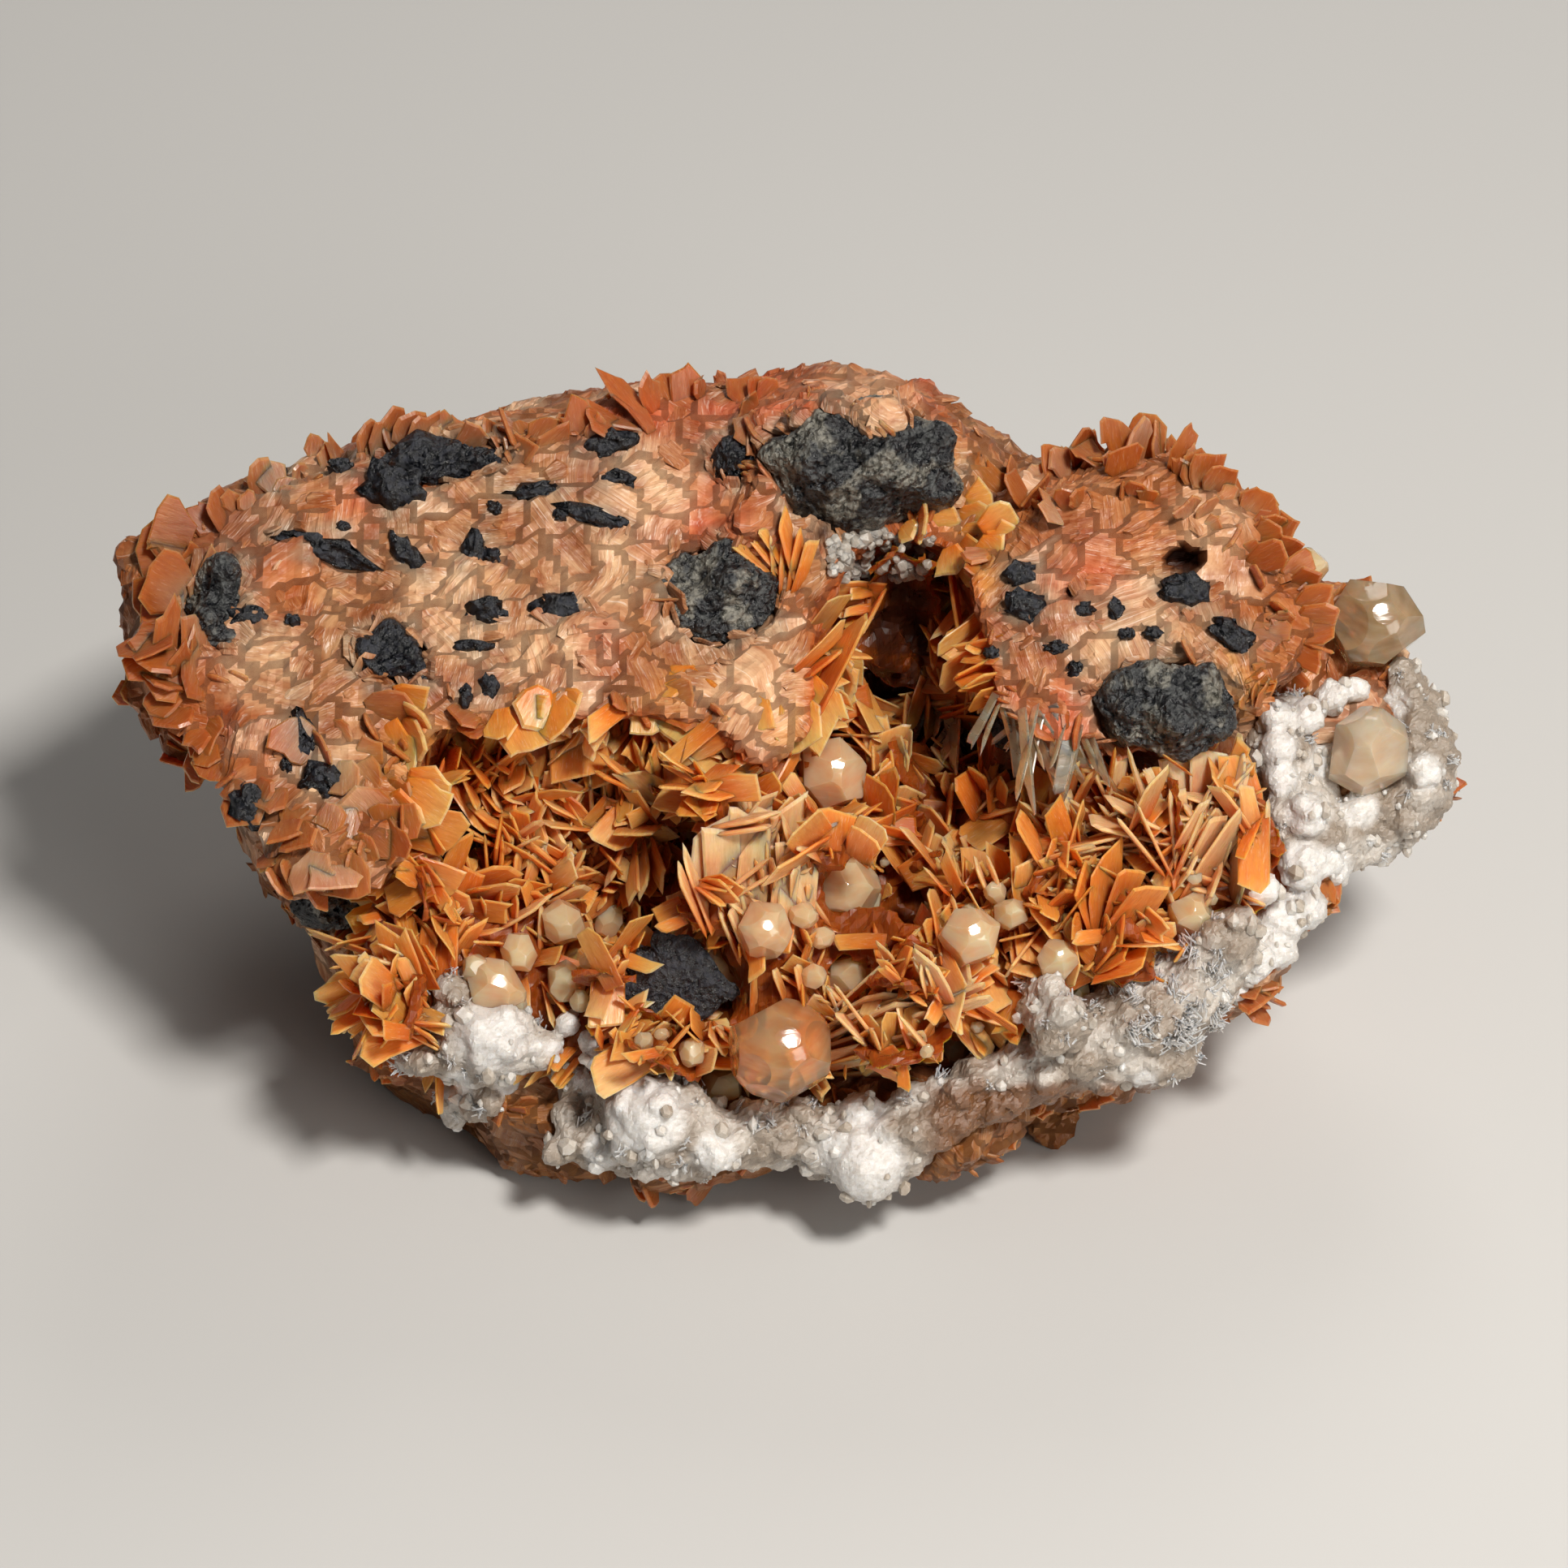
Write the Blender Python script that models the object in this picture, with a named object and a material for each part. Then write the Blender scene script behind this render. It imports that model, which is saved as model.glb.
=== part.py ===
"""A specimen of orange barite with galena and cerussite, resting on its flat broken underside.

A slab and a round lobe of massive barite overhang a hollow lined with thin barite blades. Galena lumps
sit in the massive barite, cerussite crystals on the blades, and a pale cerussite crust along the lower rim.

Places are in millimetres, as (right, up, away) for a viewer in front of the specimen who looks down on it at
VIEW_TILT. Finished objects are in metres, with +Z up and the front towards -Y.
"""

import math
import random

import bmesh
import bpy
from mathutils import Matrix, Vector, noise
from mathutils.bvhtree import BVHTree
from mathutils.kdtree import KDTree

MM = 0.001
GAP = 0.3  # between neighbouring solids
GAP_SPARE = 1.05  # pockets are that much wider than the gap
SPIKE_LIMIT = 2.0  # how many gaps a sharp corner of a pocket may move

# The front view that all places are stated in
VIEW_TILT = math.radians(40)
VIEW_CENTRE = Vector((0, 0, 20))
VIEW_DISTANCE = 395.0
SIGHT_START = 60.0  # in front of the centre, clear of the specimen
RIGHT = Vector((1, 0, 0))
UP = Vector((0, math.sin(VIEW_TILT), math.cos(VIEW_TILT)))
AWAY = Vector((0, math.cos(VIEW_TILT), -math.sin(VIEW_TILT)))

# Outline of the massive barite as the viewer sees it, without the crust and the outermost blades
BODY_OUTLINE = [
    (-41, 8), (-40.5, 15), (-37, 19.5), (-30, 22.5), (-22, 24), (-14, 26), (-5, 26.8), (4, 27.6),
    (9.5, 27), (13.5, 24), (16.5, 21.5), (22.5, 22.8), (30, 19.5), (35.5, 14), (38, 7), (36.5, -1),
    (33, -8), (29, -14.5), (24.5, -19.5), (18, -22), (11, -23.5), (3, -25), (-6, -25.5), (-15, -26),
    (-22, -23.4), (-28.6, -19), (-32, -11), (-36.5, -4),
]
# Sections of the body: (away, size against the outline, how far it is moved up)
BODY_SECTIONS = [(-4.5, 0.80, 0.5), (-1, 0.97, 0), (5, 1.0, 0), (12, 0.95, 0.5), (18, 0.84, 2), (23, 0.64, 4)]

# The back is broken along large uneven faces: from that depth, growing over that distance
BREAK_FROM, BREAK_FADE = 7.0, 6.0

# The slab's face at the left, and the lobe's at the right
SLAB_OUTLINE = [
    (-44, 8), (-43.5, 15), (-38.5, 19.4), (-33, 21.2), (-28, 23), (-20, 24), (-10, 24), (-3, 21), (2, 14),
    (4, 8), (2.2, 2.5), (-1.4, 0.6), (-6, 4), (-12, 5), (-19, 4.3), (-24.5, 3), (-25.5, -3), (-28, -7),
    (-34, -6.5), (-37, -2), (-40, 3.5),
]
SLAB_NEAR, SLAB_RISE, SLAB_THICK = -14.5, 0.42, 12.0  # depth of the face at up = 0, and how it leans back
LOBE_OUTLINE = [
    (10.5, 8.5), (13, 14), (15.5, 18), (20, 20.8), (26, 21), (32, 18.6), (35.8, 13.6), (35.4, 8), (31, 4.5),
    (28, 2), (22, 1.4), (15.5, 2.2), (14, 5.5),
]
LOBE_NEAR, LOBE_RISE, LOBE_THICK = -15.5, 0.36, 13.0
PLATE_CURVE = 0.004  # how the face of both falls back towards its sides
PLATE_EDGE = 1.6  # depth over which their front edge is bevelled
PLATE_FRONT, PLATE_WAIST, PLATE_BACK = 0.93, 0.97, 0.8  # their size at the face, half way and behind

# Lumps of massive barite: (right, up, away) of the centre, then the three half sizes
BODY_LUMPS = [
    ((3, 19, 1), (12, 8, 8)),      # hump at the top
    ((-10, 23, 2), (7, 4.5, 5)),   # its left shoulder
    ((37, 3, 3), (6, 8, 6)),       # right wing
    ((40, 0, 3), (4.5, 4, 4)),     # its tip
    ((37.5, 9, 3), (4.5, 5, 4.5)),  # and its upper end
    ((-24.5, -17, -2), (5, 4, 5)),  # rim, from left to right
    ((-15, -22.5, -3), (6, 3.6, 5)),
    ((-4, -23.6, -5), (8, 3.2, 5)),
    ((9, -22.4, -5), (8, 3.4, 5)),
    ((19, -18.3, -4), (7.5, 4, 6)),
    ((27.5, -11.5, -3), (5.5, 5.5, 6)),
    ((33, -6, 0), (4, 6, 6)),
    ((-17, -24.5, 1), (4.5, 3, 4)),  # tip below the rim
]
# Hollows in the front, in the same form
HOLLOWS = [
    ((-12, -6, -7), (16, 11.5, 11.5)),
    ((-22, -12, -8), (8.5, 8.5, 7)),
    ((-11, -16, -9), (9, 5, 7)),
    ((8, 4, -7), (6.5, 14, 18)),
    ((13, -9, -8), (11, 10, 10.5)),
    ((0, -12, -10), (10, 9, 9)),
    ((26, -5, -10), (10, 8, 7.5)),
]
LINING_DEEP = 3.4  # how thick the blades' own base is at the back of the hollows
LINING_CLEAR = 1.1  # between that base and the hollows' wall, before the base is thinned out
# Masses that the blades grow over inside the hollows, in the same form
BLADE_MASSES = [
    ((-0.5, -4, -9), (4.2, 4.5, 5)),   # column below the slab's tip
    ((-0.5, -10, -9), (5, 6, 5.5)),
    ((1, -16, -8.5), (6, 4.5, 5)),
    ((10, -15.5, -7.5), (6, 4.5, 4.5)),
    ((25.5, -5, -7.5), (8, 5.5, 4.5)),  # right mass below the lobe
    ((17, -10, -7), (6, 5, 4)),
    ((-22, -12, -6.5), (7, 6.5, 4)),   # left mass
    ((-13, -15.5, -6.5), (7, 4.5, 4)),
]
# Sprays of blades: (right, up) of each centre, the blades' radius, and how many cross there
SPRAYS = [
    ((-24, -8), 3.4, 2), ((-18.5, -4), 4.0, 3), ((-11.5, -1), 3.6, 3), ((-7, 1.5), 3.2, 2),
    ((-24.5, -14), 3.4, 2), ((-15, -8), 4.2, 3), ((-8.5, -6), 4.0, 3), ((-11.5, -14), 3.8, 2),
    ((-7.5, -18.6), 3.8, 3), ((-2.5, -2), 3.2, 2), ((1.5, -4), 3.0, 2), ((-3.5, -8.6), 3.2, 2),
    ((3.5, -10.5), 3.4, 2), ((9.5, -15.2), 4.6, 4), ((14, -10.5), 3.8, 2), ((8, -6), 3.8, 3),
    ((18, -13), 3.6, 2), ((20, -7), 4.2, 3), ((26, -4), 4.0, 4), ((31, -4), 3.4, 2),
    ((23, -11), 3.6, 2), ((11, 0), 3.4, 2), ((6, 9.5), 3.0, 2),
]
SPRAY_STEP = 32  # degrees between neighbouring blades of a spray
SPRAY_OUT = 0.55  # share of its radius by which a blade's centre stands out of the lining
BLADE_THICK = (0.8, 1.1)
BLADE_WIDTH = 0.72  # of a blade against its length
BLADE_CLEAR = 0.1  # beyond the gap, between the blades' corners and the hollow's wall

# Galena: (right, up) where each lump shows, its half sizes, and how much of its depth stays buried
GALENA = {
    "galena_top": ((5.2, 21.4), (6.8, 4.6, 3.6), 0.6),
    "galena_middle": ((-4.2, 12.6), (4.0, 3.2, 2.6), 0.72),
    "galena_lobe": ((25.6, 4.8), (4.8, 3.2, 2.6), 0.65),
    "galena_left": ((-38.2, 11.4), (2.2, 3.9, 2.4), 0.72),
    "galena_ledge": ((-22.8, -3.0), (3.4, 1.8, 2.0), 0.6),
    "galena_corner": ((-30.6, -8.0), (2.6, 1.8, 2.4), 0.55),
    "galena_hollow": ((-7.5, -12.8), (3.2, 3.2, 2.6), 0.5),
    "galena_shoulder": ((-22.6, 21.4), (4.6, 1.6, 2.4), 0.75),
    "galena_knob": ((-3.2, 21.8), (1.4, 1.9, 1.8), 0.7),
    "galena_slab": ((-26.6, 8.2), (2.5, 1.8, 2.0), 0.75),
}

# Cerussite crystals: (right, up) where each shows, its radius, its length against its radius, and its lean
CRYSTALS = {
    "cerussite_crystal_01": ((-0.4, -18.0), 3.3, 0.95, 20),
    "cerussite_crystal_02": ((-4.7, -13.0), 1.7, 1.4, -15),
    "cerussite_crystal_03": ((-1.3, -9.8), 1.7, 1.0, 40),
    "cerussite_crystal_04": ((3.9, -6.9), 2.0, 1.2, 65),
    "cerussite_crystal_05": ((3.2, 0.6), 2.0, 1.3, 30),
    "cerussite_crystal_06": ((4.3, -12.9), 1.2, 1.2, 25),
    "cerussite_crystal_07": ((-17.8, -11.4), 1.25, 0.95, 0),
    "cerussite_crystal_08": ((-19.4, -13.8), 1.8, 1.0, 30),
    "cerussite_crystal_09": ((-14.8, -9.4), 1.35, 1.2, -20),
    "cerussite_crystal_10": ((-14.7, -13.4), 1.3, 1.0, 15),
    "cerussite_crystal_11": ((12.4, -10.3), 1.8, 1.2, -30),
    "cerussite_crystal_12": ((18.3, -11.9), 1.3, 1.1, 0),
    "cerussite_crystal_13": ((27.2, -8.8), 1.3, 1.2, -45),
    "cerussite_crystal_14": ((39.6, 10.6), 2.7, 1.25, 35),
    "cerussite_crystal_15": ((39.0, 2.2), 2.9, 1.0, 60),
}
BURIED = 0.35  # share of a crystal's radius that is sunk in what carries it
CRYSTAL_PROFILE = [(-0.7, 0.75), (0.2, 1.0), (0.95, 0.45)]  # along its axis, and its width there
CRYSTAL_FORWARD = 0.5  # how far its axis leans towards the viewer
CRYSTAL_FLAT = 0.10  # how much wider it is one way than the other

# Bands of the pale cerussite crust: (right, up) of points along each, with the band's radius there
CRUST_BANDS = {
    "cerussite_crust_left": [
        [(-22.5, -14.6, 1.6), (-20.2, -16.6, 2.7), (-19.4, -20.2, 1.7), (-21.6, -21.2, 1.5)],
        [(-24.4, -18.4, 1.4), (-20.2, -17.6, 2.2), (-16.6, -17.8, 1.5)],
    ],
    "cerussite_crust_rim": [
        [(-14.2, -19.4, 1.7), (-11.2, -20.6, 2.2), (-9.4, -22.6, 3.4), (-4.4, -24.0, 2.2), (0.6, -23.2, 2.0),
         (5.8, -24.6, 3.0), (9.4, -22.6, 2.1), (14.6, -20.0, 2.1), (18.4, -18.6, 2.4), (24.2, -16.4, 3.6),
         (28.0, -12.8, 2.4), (30.4, -9.4, 1.8)],
        [(-14.6, -23.6, 1.6), (-9.4, -23.6, 2.2)],
        [(17.6, -14.8, 1.5), (20.4, -17.2, 2.2)],
        [(24.6, -19.8, 1.4), (24.2, -16.4, 2.2)],
    ],
    "cerussite_crust_wing": [
        [(33.2, 6.2, 1.5), (33.4, 1.6, 2.4), (34.6, -3.6, 2.6), (38.4, -3.2, 2.4), (42.4, -0.8, 2.2),
         (43.0, 3.0, 1.9), (41.4, 6.4, 1.8)],
        [(34.6, -3.6, 2.4), (32.4, -7.0, 2.0), (30.8, -9.6, 1.7)],
    ],
}
CRUST_STEP = 1.4  # between the lumps along a band
CRUST_PROUD, CRUST_DEEP = 0.35, 1.15  # of a lump's radius: how far its centre stands out, and its half depth

EDGE_TURNED = 0.45  # how far the outermost blades' broad faces turn away from the viewer
# Large blades along the outer edges: centre, blade radius, thickness, and turn of the flat side in degrees
EDGE_BLADES = [
    ((-42.0, 7, -4), 3.6, 1.3, 75), ((-41.6, 12, -3), 3.2, 1.2, 60), ((-40.6, 15.4, -2), 2.8, 1.2, 80),
    ((-39.6, 3, -4), 3.2, 1.2, 50), ((-8.5, 23.4, 1), 3.8, 1.4, 20), ((-12.6, 22.6, 2), 2.8, 1.0, -30),
    ((-25, 21.4, 1), 2.6, 1.2, 35), ((-17.5, 22.2, 1), 2.6, 1.2, 10), ((6.6, 25.2, 1), 2.8, 1.2, 40),
    ((16.6, 18.4, -3), 2.8, 1.1, 80), ((19.2, 19.2, -2), 2.8, 1.1, 65), ((22.8, 20.2, -3), 3.2, 1.2, 50),
    ((26.4, 20.4, -2), 3.0, 1.2, 15), ((30.2, 17.2, -4), 3.0, 1.2, -15), ((32.8, 14.2, -3), 2.8, 1.2, -35),
    ((34.4, 10.6, -5), 2.6, 1.2, -50), ((18, -22.6, 2), 2.6, 1.2, 85),
]

# Colours, roughness and, for galena, how metallic it is
BARITE_COLOUR, BARITE_ROUGH = (0.72, 0.38, 0.22), 0.45
BLADE_COLOUR, BLADE_ROUGH = (0.78, 0.36, 0.12), 0.35
GALENA_COLOUR, GALENA_ROUGH, GALENA_METAL = (0.07, 0.075, 0.08), 0.35, 0.6
CRYSTAL_COLOUR, CRYSTAL_ROUGH = (0.80, 0.66, 0.48), 0.12
CRUST_COLOUR, CRUST_ROUGH = (0.82, 0.80, 0.77), 0.5

# How finely each kind of solid is meshed, in mm, and the share of faces kept
BODY_VOXEL, BODY_KEPT = 1.3, 0.048
HOLLOW_VOXEL, HOLLOW_KEPT = 1.6, 0.07
LINING_VOXEL, LINING_KEPT = 1.3, 0.065
CRUST_VOXEL, CRUST_KEPT = 0.8, 0.065
FLOOR_BLOCK = 120.0  # side of the block that cuts the underside flat


def seen(right, up, away):
    """The place that the viewer sees that far right and up of the centre, at that depth."""
    spread = 1 + away / VIEW_DISTANCE
    return VIEW_CENTRE + RIGHT * (right * spread) + UP * (up * spread) + AWAY * away


def solid_from(shape, name):
    """An object that holds the bmesh's faces."""
    mesh = bpy.data.meshes.new(name)
    shape.to_mesh(mesh)
    shape.free()
    made = bpy.data.objects.new(name, mesh)
    bpy.context.scene.collection.objects.link(made)
    return made


def copied(thing, name, shrink=0.0):
    """A copy whose skin is moved inwards by that much."""
    made = bpy.data.objects.new(name, thing.data.copy())
    bpy.context.scene.collection.objects.link(made)
    normals = [v.normal.copy() for v in made.data.vertices]
    for vert, normal in zip(made.data.vertices, normals):
        vert.co -= normal * shrink
    return made


def removed(*things):
    for thing in things:
        bpy.data.objects.remove(thing)


def settled(thing):
    """Replaces the object's mesh by what its modifiers make of it."""
    graph = bpy.context.evaluated_depsgraph_get()
    mesh = bpy.data.meshes.new_from_object(thing.evaluated_get(graph))
    thing.modifiers.clear()
    thing.data = mesh
    return thing


def joined(name, things):
    """One object that holds the faces of all things, which may still cross each other."""
    shape = bmesh.new()
    for thing in things:
        shape.from_mesh(thing.data)
    removed(*things)
    return solid_from(shape, name)


def fused(thing, voxel):
    """Makes crossing closed shapes one skin."""
    remesh = thing.modifiers.new("one_skin", "REMESH")
    remesh.mode = "VOXEL"
    remesh.voxel_size = voxel
    return settled(thing)


def thinned(thing, kept):
    """Keeps that share of the faces, and drops the flaps of two equal faces that this can leave."""
    decimate = thing.modifiers.new("fewer_faces", "DECIMATE")
    decimate.ratio = kept
    decimate.use_collapse_triangulate = True
    settled(thing)
    shape = bmesh.new()
    shape.from_mesh(thing.data)
    same = {}
    for face in shape.faces:
        same.setdefault(frozenset(face.verts), []).append(face)
    flaps = [face for faces in same.values() if len(faces) > 1 for face in faces]
    bmesh.ops.delete(shape, geom=flaps, context="FACES")
    shape.to_mesh(thing.data)
    shape.free()
    return thing


def combined(thing, others, operation):
    """Boolean of thing with each of the others, as one cut."""
    group = bpy.data.collections.new("operands")
    for other in others:
        group.objects.link(other)
    boolean = thing.modifiers.new("combine", "BOOLEAN")
    boolean.operation = operation
    boolean.operand_type = "COLLECTION"
    boolean.collection = group
    boolean.solver = "EXACT"
    boolean.use_self = True
    settled(thing)
    bpy.data.collections.remove(group)
    return thing


def without_chips(thing):
    """Keeps the largest connected body and drops what a cut has broken off."""
    shape = bmesh.new()
    shape.from_mesh(thing.data)
    left = set(shape.faces)
    bodies = []
    while left:
        front = [left.pop()]
        body = list(front)
        while front:
            face = front.pop()
            for edge in face.edges:
                for other in edge.link_faces:
                    if len(edge.link_faces) == 2 and other in left:
                        left.remove(other)
                        front.append(other)
                        body.append(other)
        bodies.append(body)
    bodies.sort(key=len)
    for body in bodies[:-1]:
        bmesh.ops.delete(shape, geom=body, context="FACES")
    shape.to_mesh(thing.data)
    shape.free()
    return thing


def lump(centre, half_sizes, fineness=2):
    """An ellipsoid along the viewer's axes."""
    shape = bmesh.new()
    bmesh.ops.create_icosphere(shape, subdivisions=fineness, radius=1)
    for vert in shape.verts:
        right, up, away = (c * h for c, h in zip(vert.co, half_sizes))
        vert.co = seen(*centre) + RIGHT * right + UP * up + AWAY * away
    bmesh.ops.recalc_face_normals(shape, faces=shape.faces)
    return solid_from(shape, "lump")


def stacked(name, rings):
    """A closed shape through rings of equal length."""
    shape = bmesh.new()
    levels = [[shape.verts.new(point) for point in ring] for ring in rings]
    count = len(levels[0])
    for low, high in zip(levels, levels[1:]):
        for i in range(count):
            j = (i + 1) % count
            shape.faces.new((low[i], low[j], high[j], high[i]))
    shape.faces.new(levels[0])
    shape.faces.new(levels[-1])
    bmesh.ops.recalc_face_normals(shape, faces=shape.faces)
    return solid_from(shape, name)


def body_core():
    rings = [
        [seen(right * size, up * size + lift, away) for right, up in BODY_OUTLINE]
        for away, size, lift in BODY_SECTIONS
    ]
    return stacked("core", rings)


def tilted_plate(name, outline, near, rise, thick):
    """A thick plate whose face leans back with height, a little smaller at its front edge and at its back."""
    middle_right = sum(p[0] for p in outline) / len(outline)
    middle_up = sum(p[1] for p in outline) / len(outline)
    rings = []
    for depth, size in ((0, PLATE_FRONT), (PLATE_EDGE, 1), (0.6 * thick, PLATE_WAIST), (thick, PLATE_BACK)):
        ring = []
        for right, up in outline:
            right = middle_right + (right - middle_right) * size
            up = middle_up + (up - middle_up) * size
            away = near + rise * up + PLATE_CURVE * (right - middle_right) ** 2
            ring.append(seen(right, up, away + depth))
        rings.append(ring)
    return stacked(name, rings)


def roughened(thing, cell, height, seed, beyond=None):
    """Breaks a surface into flat facets: each point moves along its normal onto its nearest cell's own tilt.

    With beyond, only what lies deeper than that from the viewer is broken up.
    """
    dice = random.Random(seed)
    points = [v.co for v in thing.data.vertices]
    low = Vector([min(p[k] for p in points) for k in range(3)])
    size = Vector([max(p[k] for p in points) for k in range(3)]) - low
    count = int(size.x * size.y * size.z / cell**3)
    tree = KDTree(count)
    tilts = []
    for index in range(count):
        tree.insert(low + Vector([dice.random() * s for s in size]), index)
        tilts.append(Vector([dice.gauss(0, 1) for _ in range(3)]).normalized())
    tree.balance()
    normals = [v.normal.copy() for v in thing.data.vertices]
    for vert, normal in zip(thing.data.vertices, normals):
        cell_centre, index, _ = tree.find(vert.co)
        facet = (vert.co - cell_centre).dot(tilts[index]) / cell
        ripple = noise.noise(vert.co / (2.5 * cell))
        reach = height
        if beyond is not None:
            depth = (vert.co - VIEW_CENTRE).dot(AWAY)
            reach *= min(max((depth - beyond) / BREAK_FADE, 0), 1)
        vert.co += normal * (reach * (facet + 0.8 * ripple))
    return thing


def blade(centre, radius, thick, flat, long_way, dice):
    """A thin tabular crystal with an uneven six-sided outline. flat is the normal of its broad faces."""
    flat = flat.normalized()
    along = (long_way - flat * long_way.dot(flat)).normalized()
    across = flat.cross(along)
    corners = []
    for step in range(6):
        angle = math.radians(60 * step + dice.uniform(-12, 12))
        reach = radius * dice.uniform(0.85, 1.1)
        corner = along * math.cos(angle) + across * (BLADE_WIDTH * math.sin(angle))
        corners.append(centre + corner * reach)
    return stacked("blade", [[c + flat * (side * thick / 2) for c in corners] for side in (-1, 1)])


def edge_blade(place, radius, thick, turn, dice):
    """A blade of the massive barite's own, which shows its broad face to the viewer."""
    angle = math.radians(turn)
    flat = (RIGHT * math.sin(angle) + UP * math.cos(angle)) * EDGE_TURNED - AWAY
    return blade(seen(*place), radius, thick, flat, UP, dice)


def surface(*things):
    """A tree for ray casts onto the things, and the same in one."""
    verts, faces = [], []
    for thing in things:
        start = len(verts)
        verts += [v.co.copy() for v in thing.data.vertices]
        faces += [[start + i for i in p.vertices] for p in thing.data.polygons]
    return BVHTree.FromPolygons(verts, faces)


def front_of(tree, right, up):
    """Where the viewer's sight line meets the surface, and the surface's normal there."""
    start = seen(right, up, -SIGHT_START)
    spot, normal, _, _ = tree.ray_cast(start, seen(right, up, 0) - start)
    return spot, normal


def crystal(name, centre, radius, length, lean, dice):
    """A stubby six-sided cerussite crystal with sloping faces at both ends."""
    axis = (Matrix.Rotation(math.radians(lean), 3, AWAY) @ UP - AWAY * CRYSTAL_FORWARD).normalized()
    side = Matrix.Rotation(dice.uniform(0, 1), 3, axis) @ axis.cross(AWAY).normalized()
    other = axis.cross(side)
    rings = []
    for height, width in CRYSTAL_PROFILE:
        ring = []
        for step in range(6):
            angle = math.radians(60 * step)
            reach = radius * width * (1 + CRYSTAL_FLAT * math.cos(2 * angle))
            around = side * math.cos(angle) + other * math.sin(angle)
            ring.append(centre + axis * (radius * length * height) + around * reach)
        rings.append(ring)
    return stacked(name, rings)


def pocket_for(thing):
    """A copy of the thing, larger all round by the gap, for cutting its neighbours."""
    made = copied(thing, thing.name + "_pocket")
    shape = bmesh.new()
    shape.from_mesh(made.data)
    shape.normal_update()
    moves = [v.normal * (GAP * min(GAP_SPARE * v.calc_shell_factor(), SPIKE_LIMIT)) for v in shape.verts]
    for vert, move in zip(shape.verts, moves):
        vert.co += move
    shape.to_mesh(made.data)
    shape.free()
    made.hide_render = True
    made.display_type = "WIRE"
    return made


def material(name, colour, rough, metallic=0.0):
    made = bpy.data.materials.new(name)
    made.use_nodes = True
    shader = made.node_tree.nodes["Principled BSDF"]
    shader.inputs["Base Color"].default_value = (*colour, 1)
    shader.inputs["Roughness"].default_value = rough
    shader.inputs["Metallic"].default_value = metallic
    return made


def floor_cutter():
    """Everything below the surface that the specimen rests on."""
    half = FLOOR_BLOCK / 2
    corners = [(-half, -half), (half, -half), (half, half), (-half, half)]
    return stacked("floor_cutter", [[Vector((x, y, z)) for x, y in corners] for z in (-half, 0)])


def barite_body():
    """The massive barite before the hollows and pockets are cut."""
    forms = [
        body_core(),
        tilted_plate("slab", SLAB_OUTLINE, SLAB_NEAR, SLAB_RISE, SLAB_THICK),
        tilted_plate("lobe", LOBE_OUTLINE, LOBE_NEAR, LOBE_RISE, LOBE_THICK),
    ]
    forms += [lump(centre, halves) for centre, halves in BODY_LUMPS]
    body = fused(joined("barite_body", forms), BODY_VOXEL)
    roughened(body, cell=15.0, height=3.0, seed=8, beyond=BREAK_FROM)
    roughened(body, cell=5.0, height=1.5, seed=3)
    return thinned(body, BODY_KEPT)


def hollow_space():
    space = fused(joined("hollow_space", [lump(*h) for h in HOLLOWS]), HOLLOW_VOXEL)
    return thinned(space, HOLLOW_KEPT)


def clear_of(tree, points):
    """Whether all points are outside the surface, a little more than the gap away from it."""
    for point in points:
        nearest, normal, _, distance = tree.find_nearest(point)
        if distance < GAP + BLADE_CLEAR or (point - nearest).dot(normal) < 0:
            return False
    return True


def spray(wall, lining, place, radius, count, dice):
    """Blades that fan out from one line on the lining, like the leaves of an open book, clear of the wall."""
    spot, normal = front_of(lining, *place)
    hinge = normal.orthogonal().normalized()
    hinge.rotate(Matrix.Rotation(dice.uniform(0, math.pi), 3, normal))
    made = []
    for number in range(count):
        tilt = math.radians(SPRAY_STEP) * (number - (count - 1) / 2) + dice.uniform(-0.15, 0.15)
        out = Matrix.Rotation(tilt, 3, hinge) @ normal
        flat = Matrix.Rotation(dice.uniform(-0.3, 0.3), 3, out) @ hinge.cross(out)
        size = radius * dice.uniform(0.95, 1.2)
        one = blade(spot + out * (size * SPRAY_OUT), size, dice.uniform(*BLADE_THICK), flat, out, dice)
        if clear_of(wall, [v.co for v in one.data.vertices]) and not wall.overlap(surface(one)):
            made.append(one)
        else:
            removed(one)
    return made


def lining_base(space):
    """The hollows' lining without its blades: a layer on their back wall, and the masses grown up from it."""
    base = copied(space, "barite_blades", LINING_CLEAR)
    room = copied(base, "room")
    open_side = copied(base, "open_side")
    open_side.data.transform(Matrix.Translation(-AWAY * LINING_DEEP))
    masses = [lump(*m, fineness=1) for m in BLADE_MASSES]
    combined(base, [open_side], "DIFFERENCE")
    combined(base, masses, "UNION")
    combined(base, [room], "INTERSECT")
    removed(open_side, room, *masses)
    without_chips(base)
    return thinned(fused(base, LINING_VOXEL), LINING_KEPT)


def blade_lining(body, space, dice):
    """The lining with its blades, as one solid with a gap between it and the massive barite behind."""
    lining = lining_base(space)
    wall = surface(body)
    base = surface(lining)
    blades = [one for place, radius, count in SPRAYS for one in spray(wall, base, place, radius, count, dice)]
    combined(lining, blades, "UNION")
    removed(*blades)
    return without_chips(lining)


def crust_band(tree, points):
    """Lumps that follow the points across the surface, a step apart, as far as the surface reaches."""
    made = []
    for start, end in zip(points, points[1:]):
        length = math.dist(start[:2], end[:2])
        count = max(1, round(length / CRUST_STEP))
        for number in range(count + 1):
            share = number / count
            right, up, radius = (a + (b - a) * share for a, b in zip(start, end))
            spot, _ = front_of(tree, right, up)
            if spot is not None:
                away = (spot - VIEW_CENTRE).dot(AWAY) - CRUST_PROUD * radius
                made.append(lump((right, up, away), (radius, radius, radius * CRUST_DEEP)))
    return made


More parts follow.
